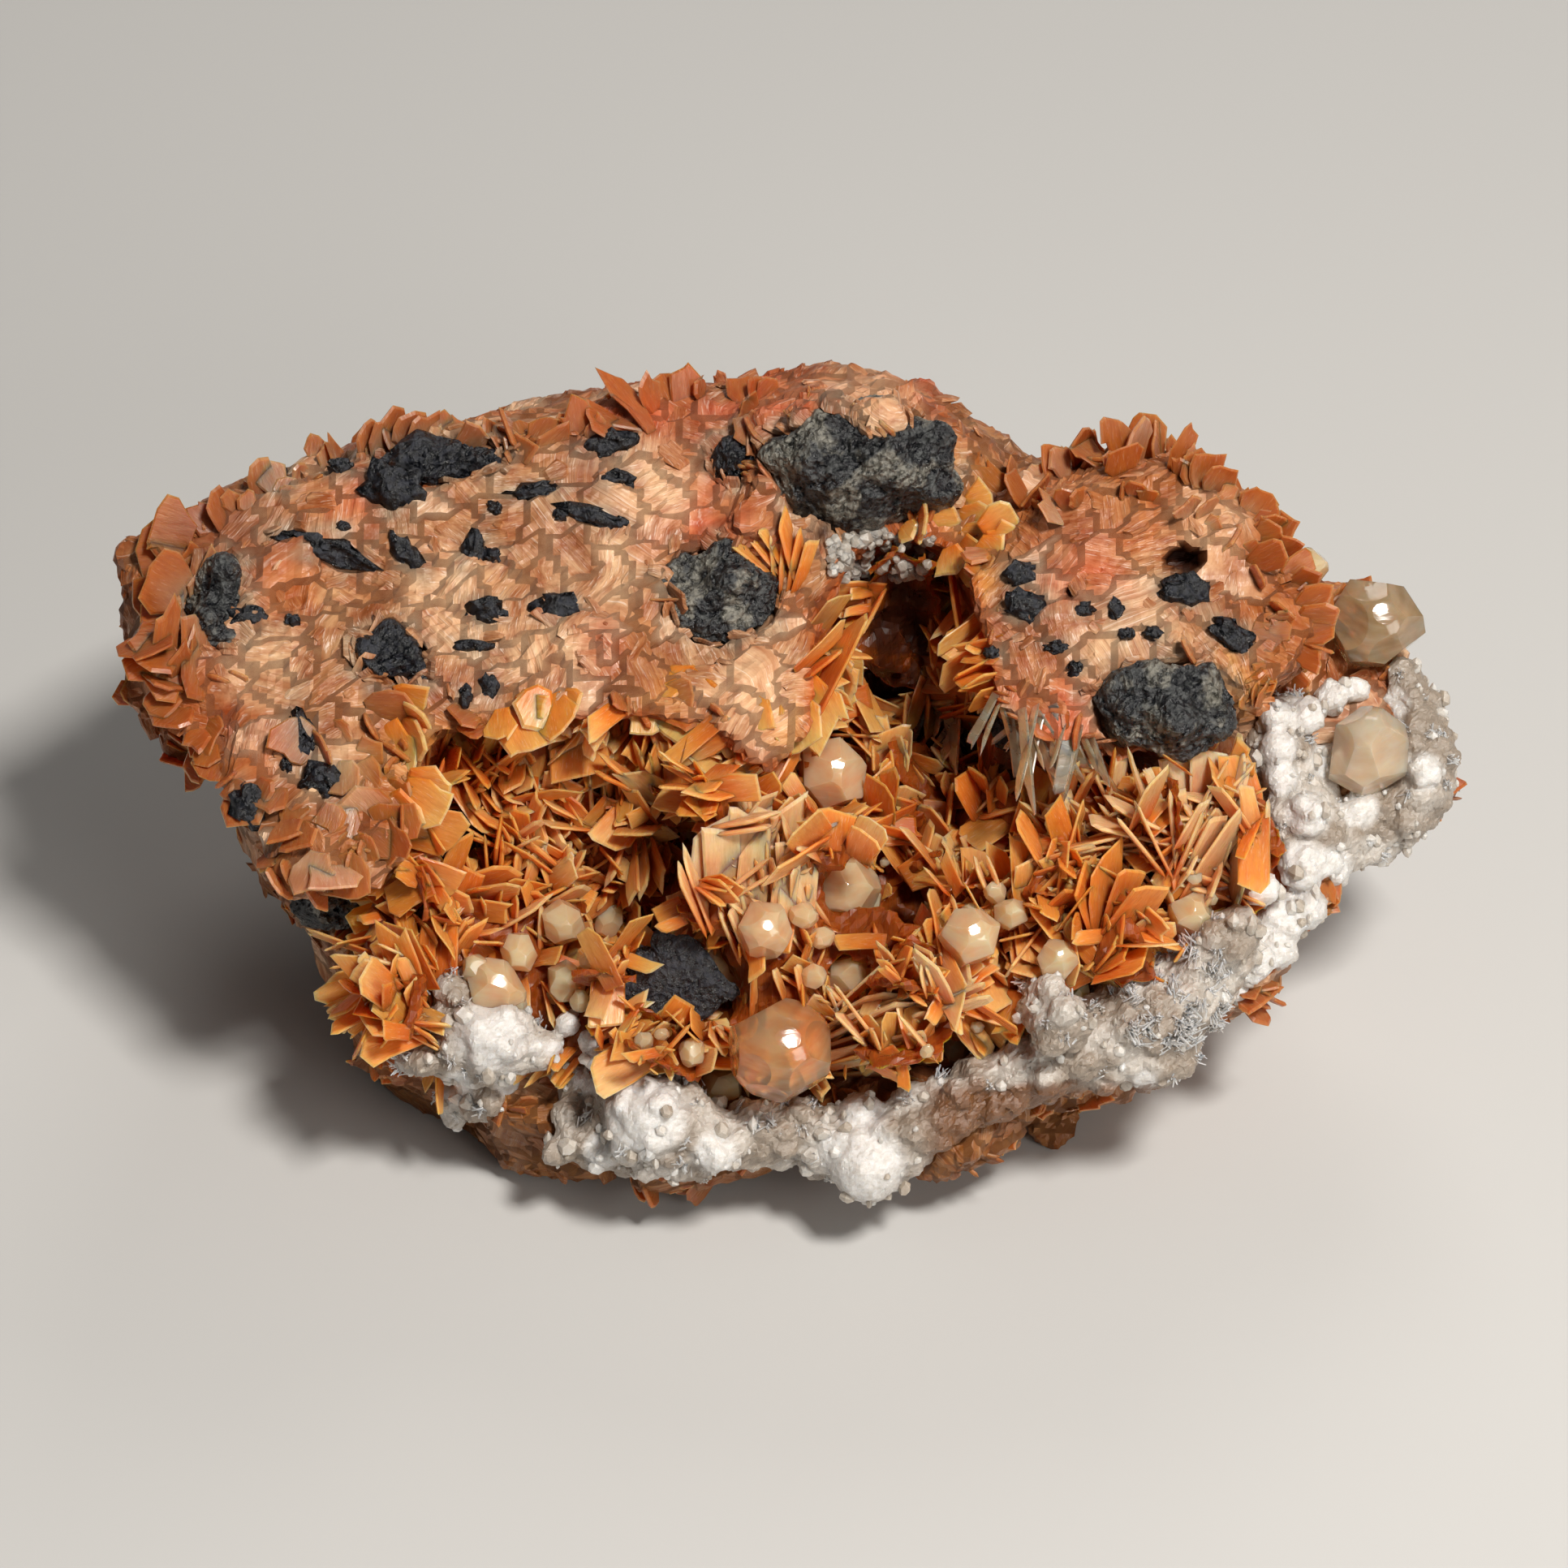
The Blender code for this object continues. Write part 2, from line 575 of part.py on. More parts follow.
def pale_crust(tree, name, bands):
    """One faceted solid of all the lumps of its bands."""
    made = fused(joined(name, [one for band in bands for one in crust_band(tree, band)]), CRUST_VOXEL)
    roughened(made, cell=1.5, height=0.6, seed=name)
    return thinned(made, CRUST_KEPT)


def crystals_on(tree, dice):
    """All crystals, each clear of those made before it, and their pockets."""
    made, pockets = {}, []
    for name, (place, radius, length, lean) in CRYSTALS.items():
        spot, _ = front_of(tree, *place)
        made[name] = crystal(name, spot - AWAY * (radius * (1 - BURIED)), radius, length, lean, dice)
        if pockets:
            combined(made[name], pockets, "DIFFERENCE")
        pockets.append(pocket_for(made[name]))
    return made, pockets


def galena_on(tree, others):
    """All galena lumps, clear of the pockets of the others."""
    made = {}
    for name, (place, halves, buried) in GALENA.items():
        spot, _ = front_of(tree, *place)
        away = (spot - VIEW_CENTRE).dot(AWAY) + halves[2] * (2 * buried - 1)
        made[name] = roughened(lump((*place, away), halves), cell=1.8, height=0.7, seed=name)
        combined(made[name], others, "DIFFERENCE")
    return made


def finish(solids, paint):
    """Gives the solids their names and material, and their size in metres."""
    for name, solid in solids.items():
        solid.name = name
        solid.data.name = name
        solid.data.transform(Matrix.Scale(MM, 4))
        solid.data.materials.clear()
        solid.data.materials.append(paint)


def main():
    removed(*bpy.data.objects)
    dice = random.Random(11)

    floor = floor_cutter()
    space = hollow_space()
    body = barite_body()
    edges = [edge_blade(*e, dice) for e in EDGE_BLADES]
    combined(body, [space], "DIFFERENCE")
    combined(body, edges, "UNION")
    combined(body, [floor], "DIFFERENCE")
    without_chips(body)
    body_pocket = pocket_for(body)
    lining = blade_lining(body, space, dice)
    tree = surface(body, lining)

    crystals, pockets = crystals_on(tree, dice)
    galena = galena_on(tree, pockets)
    pockets += [pocket_for(solid) for solid in galena.values()]
    combined(body, pockets, "DIFFERENCE")
    pale = {}
    for name, bands in CRUST_BANDS.items():
        pale[name] = pale_crust(tree, name, bands)
        own_pocket = pocket_for(pale[name])
        combined(pale[name], [floor, body_pocket, *pockets], "DIFFERENCE")
        without_chips(pale[name])
        pockets.append(own_pocket)
    combined(lining, pockets, "DIFFERENCE")
    without_chips(body)
    without_chips(lining)
    removed(floor, space, body_pocket, *edges, *pockets)

    finish(crystals, material("cerussite_crystal", CRYSTAL_COLOUR, CRYSTAL_ROUGH))
    finish(galena, material("galena", GALENA_COLOUR, GALENA_ROUGH, GALENA_METAL))
    finish(pale, material("cerussite_crust", CRUST_COLOUR, CRUST_ROUGH))
    finish({"barite_blades": lining}, material("barite_blades", BLADE_COLOUR, BLADE_ROUGH))
    finish({"barite_body": body}, material("barite_body", BARITE_COLOUR, BARITE_ROUGH))


main()
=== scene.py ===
"""Looks of a barite specimen with galena and cerussite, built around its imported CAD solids.

Lengths are in millimetres until a piece is finished, and places are often given as (right, up) or
(right, up, away) for a viewer in front of the specimen who looks down on it at VIEW_TILT.
"""

import math

import bmesh
import bpy
import numpy as np
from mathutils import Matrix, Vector, noise
from mathutils.bvhtree import BVHTree
from mathutils.kdtree import KDTree


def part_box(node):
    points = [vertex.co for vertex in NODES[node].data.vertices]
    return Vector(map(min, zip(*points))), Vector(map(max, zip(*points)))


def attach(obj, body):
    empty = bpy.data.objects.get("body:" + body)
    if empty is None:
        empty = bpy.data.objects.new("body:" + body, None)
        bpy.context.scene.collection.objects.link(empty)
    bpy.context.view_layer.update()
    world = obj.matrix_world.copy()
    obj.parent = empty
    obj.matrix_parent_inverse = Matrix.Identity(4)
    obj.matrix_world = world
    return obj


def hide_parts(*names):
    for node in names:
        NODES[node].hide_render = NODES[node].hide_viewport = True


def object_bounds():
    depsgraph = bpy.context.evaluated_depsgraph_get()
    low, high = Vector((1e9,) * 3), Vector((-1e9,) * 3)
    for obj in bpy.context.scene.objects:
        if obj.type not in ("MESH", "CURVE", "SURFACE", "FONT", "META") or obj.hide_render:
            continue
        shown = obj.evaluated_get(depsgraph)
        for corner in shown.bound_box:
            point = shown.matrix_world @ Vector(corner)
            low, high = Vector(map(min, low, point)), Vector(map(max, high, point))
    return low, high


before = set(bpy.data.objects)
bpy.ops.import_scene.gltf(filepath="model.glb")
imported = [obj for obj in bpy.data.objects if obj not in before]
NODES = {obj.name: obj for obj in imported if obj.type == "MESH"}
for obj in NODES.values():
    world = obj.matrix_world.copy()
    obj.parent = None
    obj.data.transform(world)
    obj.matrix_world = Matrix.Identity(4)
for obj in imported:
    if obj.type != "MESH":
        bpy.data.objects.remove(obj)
CAD_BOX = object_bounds()

MM = 0.001

# The viewer's frame
VIEW_TILT = math.radians(40)
VIEW_CENTRE = np.array((0.0, 0.0, 20.0))
VIEW_DISTANCE = 395.0
SIGHT_START = 60.0
RIGHT = np.array((1.0, 0.0, 0.0))
UP = np.array((0.0, math.sin(VIEW_TILT), math.cos(VIEW_TILT)))
AWAY = np.array((0.0, math.cos(VIEW_TILT), -math.sin(VIEW_TILT)))
# The back's depth in the view, where the front's painted shade ends
BACK_FROM = 24.0

# Hollows in the front: (right, up, away) of the centre, then the three half sizes
HOLLOWS = [
    ((-12, -6, -7), (16, 11.5, 11.5)),
    ((-22, -12, -8), (8.5, 8.5, 7)),
    ((-11, -16, -9), (9, 5, 7)),
    ((8, 4, -7), (6.5, 14, 18)),
    ((13, -9, -8), (11, 10, 10.5)),
    ((0, -12, -10), (10, 9, 9)),
    ((26, -5, -10), (10, 8, 7.5)),
]

# Colours of the barite, as linear red, green and blue
PEACH = (0.46, 0.165, 0.044)
ROSE = (0.33, 0.090, 0.032)
CREAM = (0.62, 0.33, 0.135)
WHITE = (0.80, 0.62, 0.43)
PALE = (0.72, 0.45, 0.25)
RED_STAIN = (0.54, 0.095, 0.018)
UNDER = (0.24, 0.082, 0.008)
OCHRE = (0.70, 0.30, 0.035)
PALE_OCHRE = (0.82, 0.52, 0.17)
OCHRE_RIM = (0.86, 0.74, 0.50)
# Near black, painted as shade in the crevice, the pits, the hollow and its deepest places
CREVICE_SHADE = (0.035, 0.008, 0.003)
AMBER = (0.40, 0.110, 0.010)
GREY_BARITE = (0.30, 0.235, 0.165)
ROOT = (0.54, 0.110, 0.002)
ORANGE = (0.86, 0.20, 0.003)
BLADE_PEACH = (0.96, 0.36, 0.036)
TIP = (0.96, 0.54, 0.13)
PINK_TIP = (0.96, 0.60, 0.32)
CREAM_TIP = (0.97, 0.82, 0.62)

# Colours of the crust
CRUST_BROWN = (0.37, 0.305, 0.245)
CRUST_PALE = (0.64, 0.60, 0.555)
CRUST_WHITE = (0.86, 0.86, 0.86)
LOW_BROWN = (0.20, 0.075, 0.012)
GRAIN_BROWN = (0.50, 0.44, 0.37)
GRAIN_WHITE = (0.88, 0.87, 0.85)
NEEDLE_WHITE = (0.97, 0.95, 0.92)
GREY_GRAIN = (0.24, 0.20, 0.16)
PALE_GRAIN = (0.66, 0.63, 0.58)


# Working with the viewer's frame

def seen(right, up, away):
    """Places that the viewer sees that far right and up of the centre, at that depth."""
    right, up, away = (np.asarray(x, float)[..., None] for x in (right, up, away))
    spread = 1 + away / VIEW_DISTANCE
    return VIEW_CENTRE + RIGHT * right * spread + UP * up * spread + AWAY * away


def view_of(points):
    """(right, up, away) of places, as three arrays."""
    rel = np.asarray(points, float) - VIEW_CENTRE
    away = rel @ AWAY
    spread = 1 + away / VIEW_DISTANCE
    return rel @ RIGHT / spread, rel @ UP / spread, away


def in_hollow(points):
    """How far into the hollows a place is: 0 at a hollow's centre, 1 on its wall, more outside."""
    right, up, away = view_of(points)
    share = np.full(len(right), 9.0)
    for centre, halves in HOLLOWS:
        far = sum(((x - c) / h) ** 2 for x, c, h in zip((right, up, away), centre, halves))
        share = np.minimum(share, np.sqrt(far))
    return share


def near_places(points, places):
    """How strongly each point belongs to the places, each (right, up, radius), from 0 to 1."""
    right, up, _ = view_of(points)
    share = np.zeros(len(points))
    for x, y, radius in places:
        share = np.maximum(share, 1 - np.hypot(right - x, up - y) / radius)
    return np.clip(share, 0, 1)


# Vectors, colours and noise

def unit(vectors):
    """The vectors at length 1."""
    return vectors / np.maximum(np.linalg.norm(vectors, axis=-1, keepdims=True), 1e-9)


def random_units(count, dice):
    """Random directions."""
    return unit(dice.normal(size=(count, 3)))


def square_to(vectors, axis):
    """The vectors with their share along the axis taken out."""
    return unit(vectors - axis * (vectors * axis).sum(-1, keepdims=True))


def turned(vectors, axes, angles):
    """Vectors turned round their axes."""
    cos, sin = np.cos(angles)[:, None], np.sin(angles)[:, None]
    along = axes * (vectors * axes).sum(-1, keepdims=True)
    return vectors * cos + np.cross(axes, vectors) * sin + along * (1 - cos)


def above_floor(verts, least):
    """The vertices, none of them lower than that."""
    verts[:, 2] = np.maximum(verts[:, 2], least)
    return verts


def blend(low, high, share):
    """Colours between low and high."""
    share = np.clip(np.asarray(share, float), 0, 1)[..., None]
    return np.asarray(low, float) * (1 - share) + np.asarray(high, float) * share


def smooth_step(values, low, high):
    """0 up to low, 1 from high on, and a soft rise between them."""
    share = np.clip((values - low) / (high - low), 0, 1)
    return share * share * (3 - 2 * share)


def noise_shift(seed):
    """Where in the noise a seed starts."""
    return Vector((seed * 13.7, seed * 5.1, seed * 9.3))


def ripples(points, size, seed):
    """Smooth noise from about -1 to 1, with bumps of about that size."""
    shift = noise_shift(seed)
    return np.array([noise.noise(Vector(p) / size + shift) for p in points])


def rough_ripples(points, size, octaves, seed):
    """Noise with that many sizes of bumps, the largest of about that size."""
    shift = noise_shift(seed)
    return np.array([noise.fractal(Vector(p) / size + shift, 0.9, 2.1, octaves) for p in points])


def drifts(points, size, seed):
    """Directions that change smoothly from place to place."""
    return np.stack([ripples(points, size, k + seed) for k in range(3)], axis=1)


def place_tree(points):
    """A tree for finding the nearest of some places."""
    tree = KDTree(len(points))
    for index, point in enumerate(points):
        tree.insert(Vector(point), index)
    tree.balance()
    return tree


# Meshes

def stored(vertices, key):
    """A mesh's positions or normals as an array."""
    values = np.empty(len(vertices) * 3, np.float32)
    vertices.foreach_get(key, values)
    return values.reshape(-1, 3).astype(float)


def vertex_data(thing):
    """Vertices and their normals, in mm."""
    return stored(thing.data.vertices, "co") / MM, stored(thing.data.vertices, "normal")


def mesh_arrays(mesh):
    """Vertices in mm, triangles, and the triangles' normals and areas."""
    mesh.calc_loop_triangles()
    verts = stored(mesh.vertices, "co") / MM
    tris = np.empty(len(mesh.loop_triangles) * 3, np.int32)
    mesh.loop_triangles.foreach_get("vertices", tris)
    tris = tris.reshape(-1, 3)
    a, b, c = (verts[tris[:, k]] for k in range(3))
    cross = np.cross(b - a, c - a)
    return verts, tris, unit(cross), np.linalg.norm(cross, axis=1) / 2


class Skin:
    """The surface of some meshes, for finding places on it."""

    def __init__(self, *objects):
        verts, tris, normals, areas = zip(*(mesh_arrays(one.data) for one in objects))
        starts = np.cumsum([0] + [len(part) for part in verts])
        self.verts = np.concatenate(verts)
        self.tris = np.concatenate([part + start for part, start in zip(tris, starts)])
        self.normals = np.concatenate(normals)
        self.areas = np.concatenate(areas)
        self.tree = BVHTree.FromPolygons(self.verts.tolist(), self.tris.tolist())

    def front(self, right, up):
        """Where the viewer's sight line meets the surface, and its normal there."""
        start = Vector(seen(right, up, -SIGHT_START))
        spot, normal, _, _ = self.tree.ray_cast(start, Vector(seen(right, up, 0)) - start)
        return (None, None) if spot is None else (np.array(spot), np.array(normal))

    def front_or_near(self, right, up):
        """The same, or the nearest place and a normal towards the viewer where the line misses."""
        spot, normal = self.front(right, up)
        if spot is None:
            return np.array(self.tree.find_nearest(Vector(seen(right, up, 0)))[0]), -AWAY
        return spot, normal

    def scatter(self, count, dice):
        """Random places all over the surface, and the normals there."""
        picked = dice.choice(len(self.areas), count, p=self.areas / self.areas.sum())
        s, t = np.sqrt(dice.random(count))[:, None], dice.random(count)[:, None]
        a, b, c = (self.verts[self.tris[picked, k]] for k in range(3))
        return a * (1 - s) + b * (s * (1 - t)) + c * (s * t), self.normals[picked]


def new_object(name, data):
    """The mesh, light or camera as an object in the scene."""
    made = bpy.data.objects.new(name, data)
    bpy.context.scene.collection.objects.link(made)
    return made


def mesh_piece(name, verts, sizes, loops):
    """An object from vertices in mm, the faces' corner counts, and their corners."""
    mesh = bpy.data.meshes.new(name)
    mesh.vertices.add(len(verts))
    mesh.vertices.foreach_set("co", (np.asarray(verts) * MM).astype(np.float32).ravel())
    mesh.loops.add(len(loops))
    mesh.loops.foreach_set("vertex_index", np.asarray(loops, np.int32))
    mesh.polygons.add(len(sizes))
    starts = np.concatenate(([0], np.cumsum(sizes)[:-1])).astype(np.int32)
    mesh.polygons.foreach_set("loop_start", starts)
    mesh.update(calc_edges=True)
    return new_object(name, mesh)


def repeated_piece(name, verts, count, sizes, template):
    """An object of like shapes, from all their vertices and one shape's corner counts and corners."""
    starts = np.arange(count) * (len(verts) // count)
    return mesh_piece(name, verts, np.tile(sizes, count), (template[None] + starts[:, None]).ravel())


def forms_piece(name, forms):
    """An object of different shapes, each with its vertices, corner counts and corners."""
    verts, sizes, corners = zip(*forms)
    starts = np.cumsum([0] + [len(part) for part in verts])
    loops = np.concatenate([part + start for part, start in zip(corners, starts)])
    return mesh_piece(name, np.concatenate(verts), np.concatenate(sizes), loops)


def painted(piece, tint, grain):
    """Stores each vertex's colour, and its place along and across the crystal's grain."""
    mesh = piece.data
    colours = np.ones((len(mesh.vertices), 4), np.float32)
    colours[:, :3] = np.clip(tint, 0, 1)
    mesh.attributes.new("tint", "FLOAT_COLOR", "POINT").data.foreach_set("color", colours.ravel())
    vectors = np.asarray(grain, np.float32)
    mesh.attributes.new("grain", "FLOAT_VECTOR", "POINT").data.foreach_set("vector", vectors.ravel())


def one_skin(thing, voxel):
    """Makes crossing closed shapes one skin of even, small faces."""
    remesh = thing.modifiers.new("one_skin", "REMESH")
    remesh.mode = "VOXEL"
    remesh.voxel_size = voxel * MM
    graph = bpy.context.evaluated_depsgraph_get()
    mesh = bpy.data.meshes.new_from_object(thing.evaluated_get(graph))
    thing.modifiers.clear()
    thing.data = mesh


def reshape(thing, verts):
    """Gives the object new places for its vertices."""
    thing.data.vertices.foreach_set("co", (verts * MM).astype(np.float32).ravel())
    thing.data.update()


def ball_form(fineness):
    """Vertices and triangles of a ball of radius 1."""
    shape = bmesh.new()
    bmesh.ops.create_icosphere(shape, subdivisions=fineness, radius=1)
    verts = np.array([v.co for v in shape.verts])
    faces = np.array([[v.index for v in f.verts] for f in shape.faces])
    shape.free()
    return verts, faces


def balls_piece(name, centres, radii):
    """Balls as one object, which may cross each other."""
    ball, faces = ball_form(2)
    verts = (np.asarray(centres)[:, None] + ball * np.asarray(radii)[:, None, None]).reshape(-1, 3)
    return repeated_piece(name, verts, len(centres), np.full(len(faces), 3), faces.ravel())


def joined(name, solid, extra):
    """A new object with the solid's faces and the extra shape's, whose object goes."""
    shape = bmesh.new()
    shape.from_mesh(solid.data)
    shape.from_mesh(extra.data)
    bpy.data.objects.remove(extra)
    mesh = bpy.data.meshes.new(name)
    shape.to_mesh(mesh)
    shape.free()
    return new_object(name, mesh)


# Materials

def feed(tree, socket, value):
    """Links a node's output to the socket, or stores a plain value there."""
    if isinstance(value, bpy.types.NodeSocket):
        tree.links.new(value, socket)
    else:
        socket.default_value = value


def node(tree, kind, inputs=None, **settings):
    """A node with those settings, whose inputs get a value or a link."""
    made = tree.nodes.new(kind)
    for name, value in settings.items():
        setattr(made, name, value)
    for name, value in (inputs or {}).items():
        feed(tree, made.inputs[name], value)
    return made


def new_material(name, **values):
    """A Principled material with constant values on the shader's own sockets."""
    made = bpy.data.materials.new(name)
    made.use_nodes = True
    shader = made.node_tree.nodes["Principled BSDF"]
    for socket, value in values.items():
        shader.inputs[socket.replace("_", " ")].default_value = value
    return made, made.node_tree, shader


def own_place(tree):
    """Places in the specimen's own space, in metres."""
    return node(tree, "ShaderNodeTexCoord").outputs["Object"]


def attribute(tree, name, output):
    """What painted() stored on the mesh under that name."""
    return node(tree, "ShaderNodeAttribute", attribute_name=name).outputs[output]


def texture_noise(tree, place, scale, detail, roughness):
    """Noise at the places, with that many bumps in each of their units."""
    values = {"Vector": place, "Scale": scale, "Detail": detail, "Roughness": roughness}
    return node(tree, "ShaderNodeTexNoise", values).outputs["Fac"]


def streaked(tree, stretch, detail=4.0):
    """Noise drawn out along the crystals' grain."""
    grain = attribute(tree, "grain", "Vector")
    place = node(tree, "ShaderNodeMapping", {"Vector": grain, "Scale": stretch}).outputs["Vector"]
    return texture_noise(tree, place, 1.0, detail, 0.6)


def blotches(tree, scale, detail=3.0, roughness=0.55):
    """Noise in the specimen's own space."""
    return texture_noise(tree, own_place(tree), scale, detail, roughness)


def ramp(tree, value, low, high, to_low=0.0, to_high=1.0):
    """The value, stretched from one range to another."""
    values = {"Value": value, "From Min": low, "From Max": high, "To Min": to_low, "To Max": to_high}
    return node(tree, "ShaderNodeMapRange", values).outputs["Result"]


def mixed(tree, factor, a, b, blend_type="MIX"):
    """A colour between a and b, or with Multiply their product."""
    made = node(tree, "ShaderNodeMix", data_type="RGBA", blend_type=blend_type)
    for name, kind, value in (("Factor", "VALUE", factor), ("A", "RGBA", a), ("B", "RGBA", b)):
        feed(tree, next(s for s in made.inputs if s.name == name and s.type == kind), value)
    return next(s for s in made.outputs if s.type == "RGBA")


def added(tree, a, b, share):
    """a plus that share of b."""
    return node(tree, "ShaderNodeMath", {0: b, 1: share, 2: a}, operation="MULTIPLY_ADD").outputs[0]


def surface(tree, shader, colour, roughness, height, strength, depth):
    """Gives the shader its colour and roughness, and a bump that is that deep in mm."""
    tree.links.new(colour, shader.inputs["Base Color"])
    tree.links.new(roughness, shader.inputs["Roughness"])
    bump = node(tree, "ShaderNodeBump", {"Height": height, "Strength": strength, "Distance": depth * MM})
    tree.links.new(bump.outputs["Normal"], shader.inputs["Normal"])


def barite_material(name, rough, glow, glow_depth, pale, depth, contrast):
    """Barite whose colour is stored on the mesh, with fine streaks along the grain."""
    made, tree, shader = new_material(
        name, IOR=1.64, Specular_IOR_Level=0.22, Subsurface_Weight=glow, Subsurface_Scale=glow_depth * MM,
        Subsurface_Radius=(1.0, 0.45, 0.16),
    )
    tint = attribute(tree, "tint", "Color")
    fibres = streaked(tree, (3.2, 0.55, 1.0))
    hairs = streaked(tree, (11.0, 1.2, 1.0), detail=2.0)
    spots = blotches(tree, 520.0, detail=5.0, roughness=0.65)
    shade = ramp(tree, added(tree, fibres, spots, 0.8), 0.90 - 0.18 / contrast, 0.90 + 0.18 / contrast)
    darker = mixed(tree, 1.0, tint, (0.70, 0.53, 0.45, 1), "MULTIPLY")
    lighter = mixed(tree, ramp(tree, tint, 0.05, 0.25, 0.0, pale), tint, (0.88, 0.62, 0.40, 1))
    # Painted highlights: pale hairline glints along the grain, paler on pale barite
    glints = ramp(tree, hairs, 0.60, 0.68, 0.0, pale * 1.8)
    glint = mixed(tree, ramp(tree, tint, 0.05, 0.25), tint, (0.95, 0.84, 0.72, 1))
    colour = mixed(tree, glints, mixed(tree, shade, darker, lighter), glint)
    roughness = ramp(tree, fibres, 0.3, 0.7, rough + 0.15, rough - 0.15)
    height = added(tree, added(tree, fibres, hairs, 0.45), spots, 0.6)
    surface(tree, shader, colour, roughness, height, 0.75, depth)
    return made


def galena_material(name, low, high, light_share):
    """Galena, black to grey, with small bright glints."""
    made, tree, shader = new_material(name, Metallic=0.35, IOR=2.0, Specular_IOR_Level=0.32)
    grains = blotches(tree, 1700.0, detail=5.0, roughness=0.75)
    patches = blotches(tree, 300.0)
    cells = node(tree, "ShaderNodeTexVoronoi", {"Vector": own_place(tree), "Scale": 2200.0})
    dark = mixed(tree, ramp(tree, grains, 0.46, 0.62), (*low, 1), (*high, 1))
    light = mixed(tree, ramp(tree, grains, 0.40, 0.58), (0.03, 0.03, 0.027, 1), (0.23, 0.22, 0.185, 1))
    share = ramp(tree, patches, 0.54 - light_share, 0.60 - light_share)
    roughness = ramp(tree, grains, 0.40, 0.60, 0.16, 0.55)
    height = added(tree, grains, cells.outputs["Distance"], 0.7)
    surface(tree, shader, mixed(tree, share, dark, light), roughness, height, 0.9, 0.25)
    return made


def crystal_material(name, colour, dark, density, milk, rough):
    """Clear cerussite or barite, banded and a little milky inside."""
    made, tree, shader = new_material(
        name, IOR=1.6, Transmission_Weight=1 - milk,
        Subsurface_Weight=1.0, Subsurface_Scale=2.0 * MM, Subsurface_Radius=(1.0, 0.78, 0.55),
    )
    lying = node(tree, "ShaderNodeMapping", {"Vector": own_place(tree), "Scale": (0.35, 0.35, 1.6)})
    bands = texture_noise(tree, lying.outputs["Vector"], 1100.0, 4.0, 0.5)
    share = ramp(tree, added(tree, bands, blotches(tree, 420.0), 0.8), 0.70, 1.10)
    roughness = ramp(tree, bands, 0.35, 0.65, rough + 0.12, rough)
    surface(tree, shader, mixed(tree, share, (*dark, 1), (*colour, 1)), roughness, bands, 0.30, 0.12)
    inside = node(tree, "ShaderNodeVolumeAbsorption", {"Color": (*colour, 1), "Density": density})
    tree.links.new(inside.outputs["Volume"], tree.nodes["Material Output"].inputs["Volume"])
    return made


def crust_material(name, glow, clear):
    """Fine white cerussite whose colour is stored on the mesh."""
    made, tree, shader = new_material(
        name, IOR=1.9, Subsurface_Weight=glow, Subsurface_Scale=0.9 * MM,
        Subsurface_Radius=(1.0, 0.85, 0.7), Transmission_Weight=clear,
    )
    tint = attribute(tree, "tint", "Color")
    grains = blotches(tree, 2600.0, detail=6.0, roughness=0.75)
    darker = mixed(tree, 1.0, tint, (0.72, 0.68, 0.63, 1), "MULTIPLY")
    colour = mixed(tree, ramp(tree, grains, 0.35, 0.7), darker, tint)
    surface(tree, shader, colour, ramp(tree, grains, 0.4, 0.6, 0.5, 0.25), grains, 0.6, 0.16)
    return made


MATRIX = barite_material(
    "barite_massive", rough=0.40, glow=0.0, glow_depth=0.9, pale=0.20, depth=0.20, contrast=1.0
)
BLADES = barite_material(
    "barite_blades", rough=0.36, glow=0.75, glow_depth=1.5, pale=0.08, depth=0.05, contrast=0.5
)
GALENA = galena_material("galena", (0.004, 0.005, 0.008), (0.070, 0.075, 0.075), 0.05)
DARK_GALENA = galena_material("galena_dark", (0.001, 0.002, 0.004), (0.012, 0.015, 0.026), -0.2)
HONEY, PALE_HONEY, GREENISH, WHITISH, CLEAR = (crystal_material(*row) for row in (
    ("cerussite_honey", (0.96, 0.70, 0.42), (0.84, 0.44, 0.19), 60.0, 0.22, 0.05),
    ("cerussite_pale_honey", (1.0, 0.72, 0.46), (0.98, 0.54, 0.30), 30.0, 0.55, 0.03),
    ("cerussite_greenish", (0.90, 0.76, 0.52), (0.66, 0.50, 0.28), 60.0, 0.26, 0.04),
    ("cerussite_whitish", (0.96, 0.80, 0.62), (0.86, 0.66, 0.46), 30.0, 0.42, 0.10),
    ("barite_clear", (0.90, 0.62, 0.38), (0.50, 0.26, 0.11), 60.0, 0.40, 0.22),
))
CRUST = crust_material("cerussite_crust", glow=0.55, clear=0.08)
NEEDLES = crust_material("cerussite_needles", glow=1.0, clear=0.0)


def dress(piece, material, slot, *stands_for):
    """Gives a finished piece its material, puts it under the root body, and hides the solids that it stands
    for. The slot is not used.
    """
    piece.data.materials.clear()
    piece.data.materials.append(material)
    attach(piece, "root")
    if stands_for:
        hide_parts(*stands_for)
    return piece


# Thin crystals

# Half width and place along the blade, each as a share, round the outline from one root corner to the other
BLADE_OUTLINE = np.array([
    (-0.34, 0.0), (0.34, 0.0), (0.50, 0.32), (0.52, 0.70), (0.40, 0.96), (0.10, 1.0),
    (-0.26, 0.97), (-0.50, 0.82), (-0.50, 0.45),
])
LATH_OUTLINE = np.array([
    (-0.44, 0.0), (0.44, 0.0), (0.50, 0.40), (0.50, 0.86), (0.42, 0.98), (-0.24, 1.0),
    (-0.48, 0.94), (-0.50, 0.50),
])
ROUND_OUTLINE = np.array([
    (-0.22, 0.0), (0.22, 0.0), (0.42, 0.26), (0.52, 0.58), (0.42, 0.84), (0.17, 0.98),
    (-0.17, 0.98), (-0.42, 0.84), (-0.52, 0.58), (-0.42, 0.26),
])
# How far blades may pass the solids' box
OVER = 0.8
# The lowest places of thin crystals and of the rest, above the floor
LOWEST_THIN = 0.02
LOWEST = 0.05
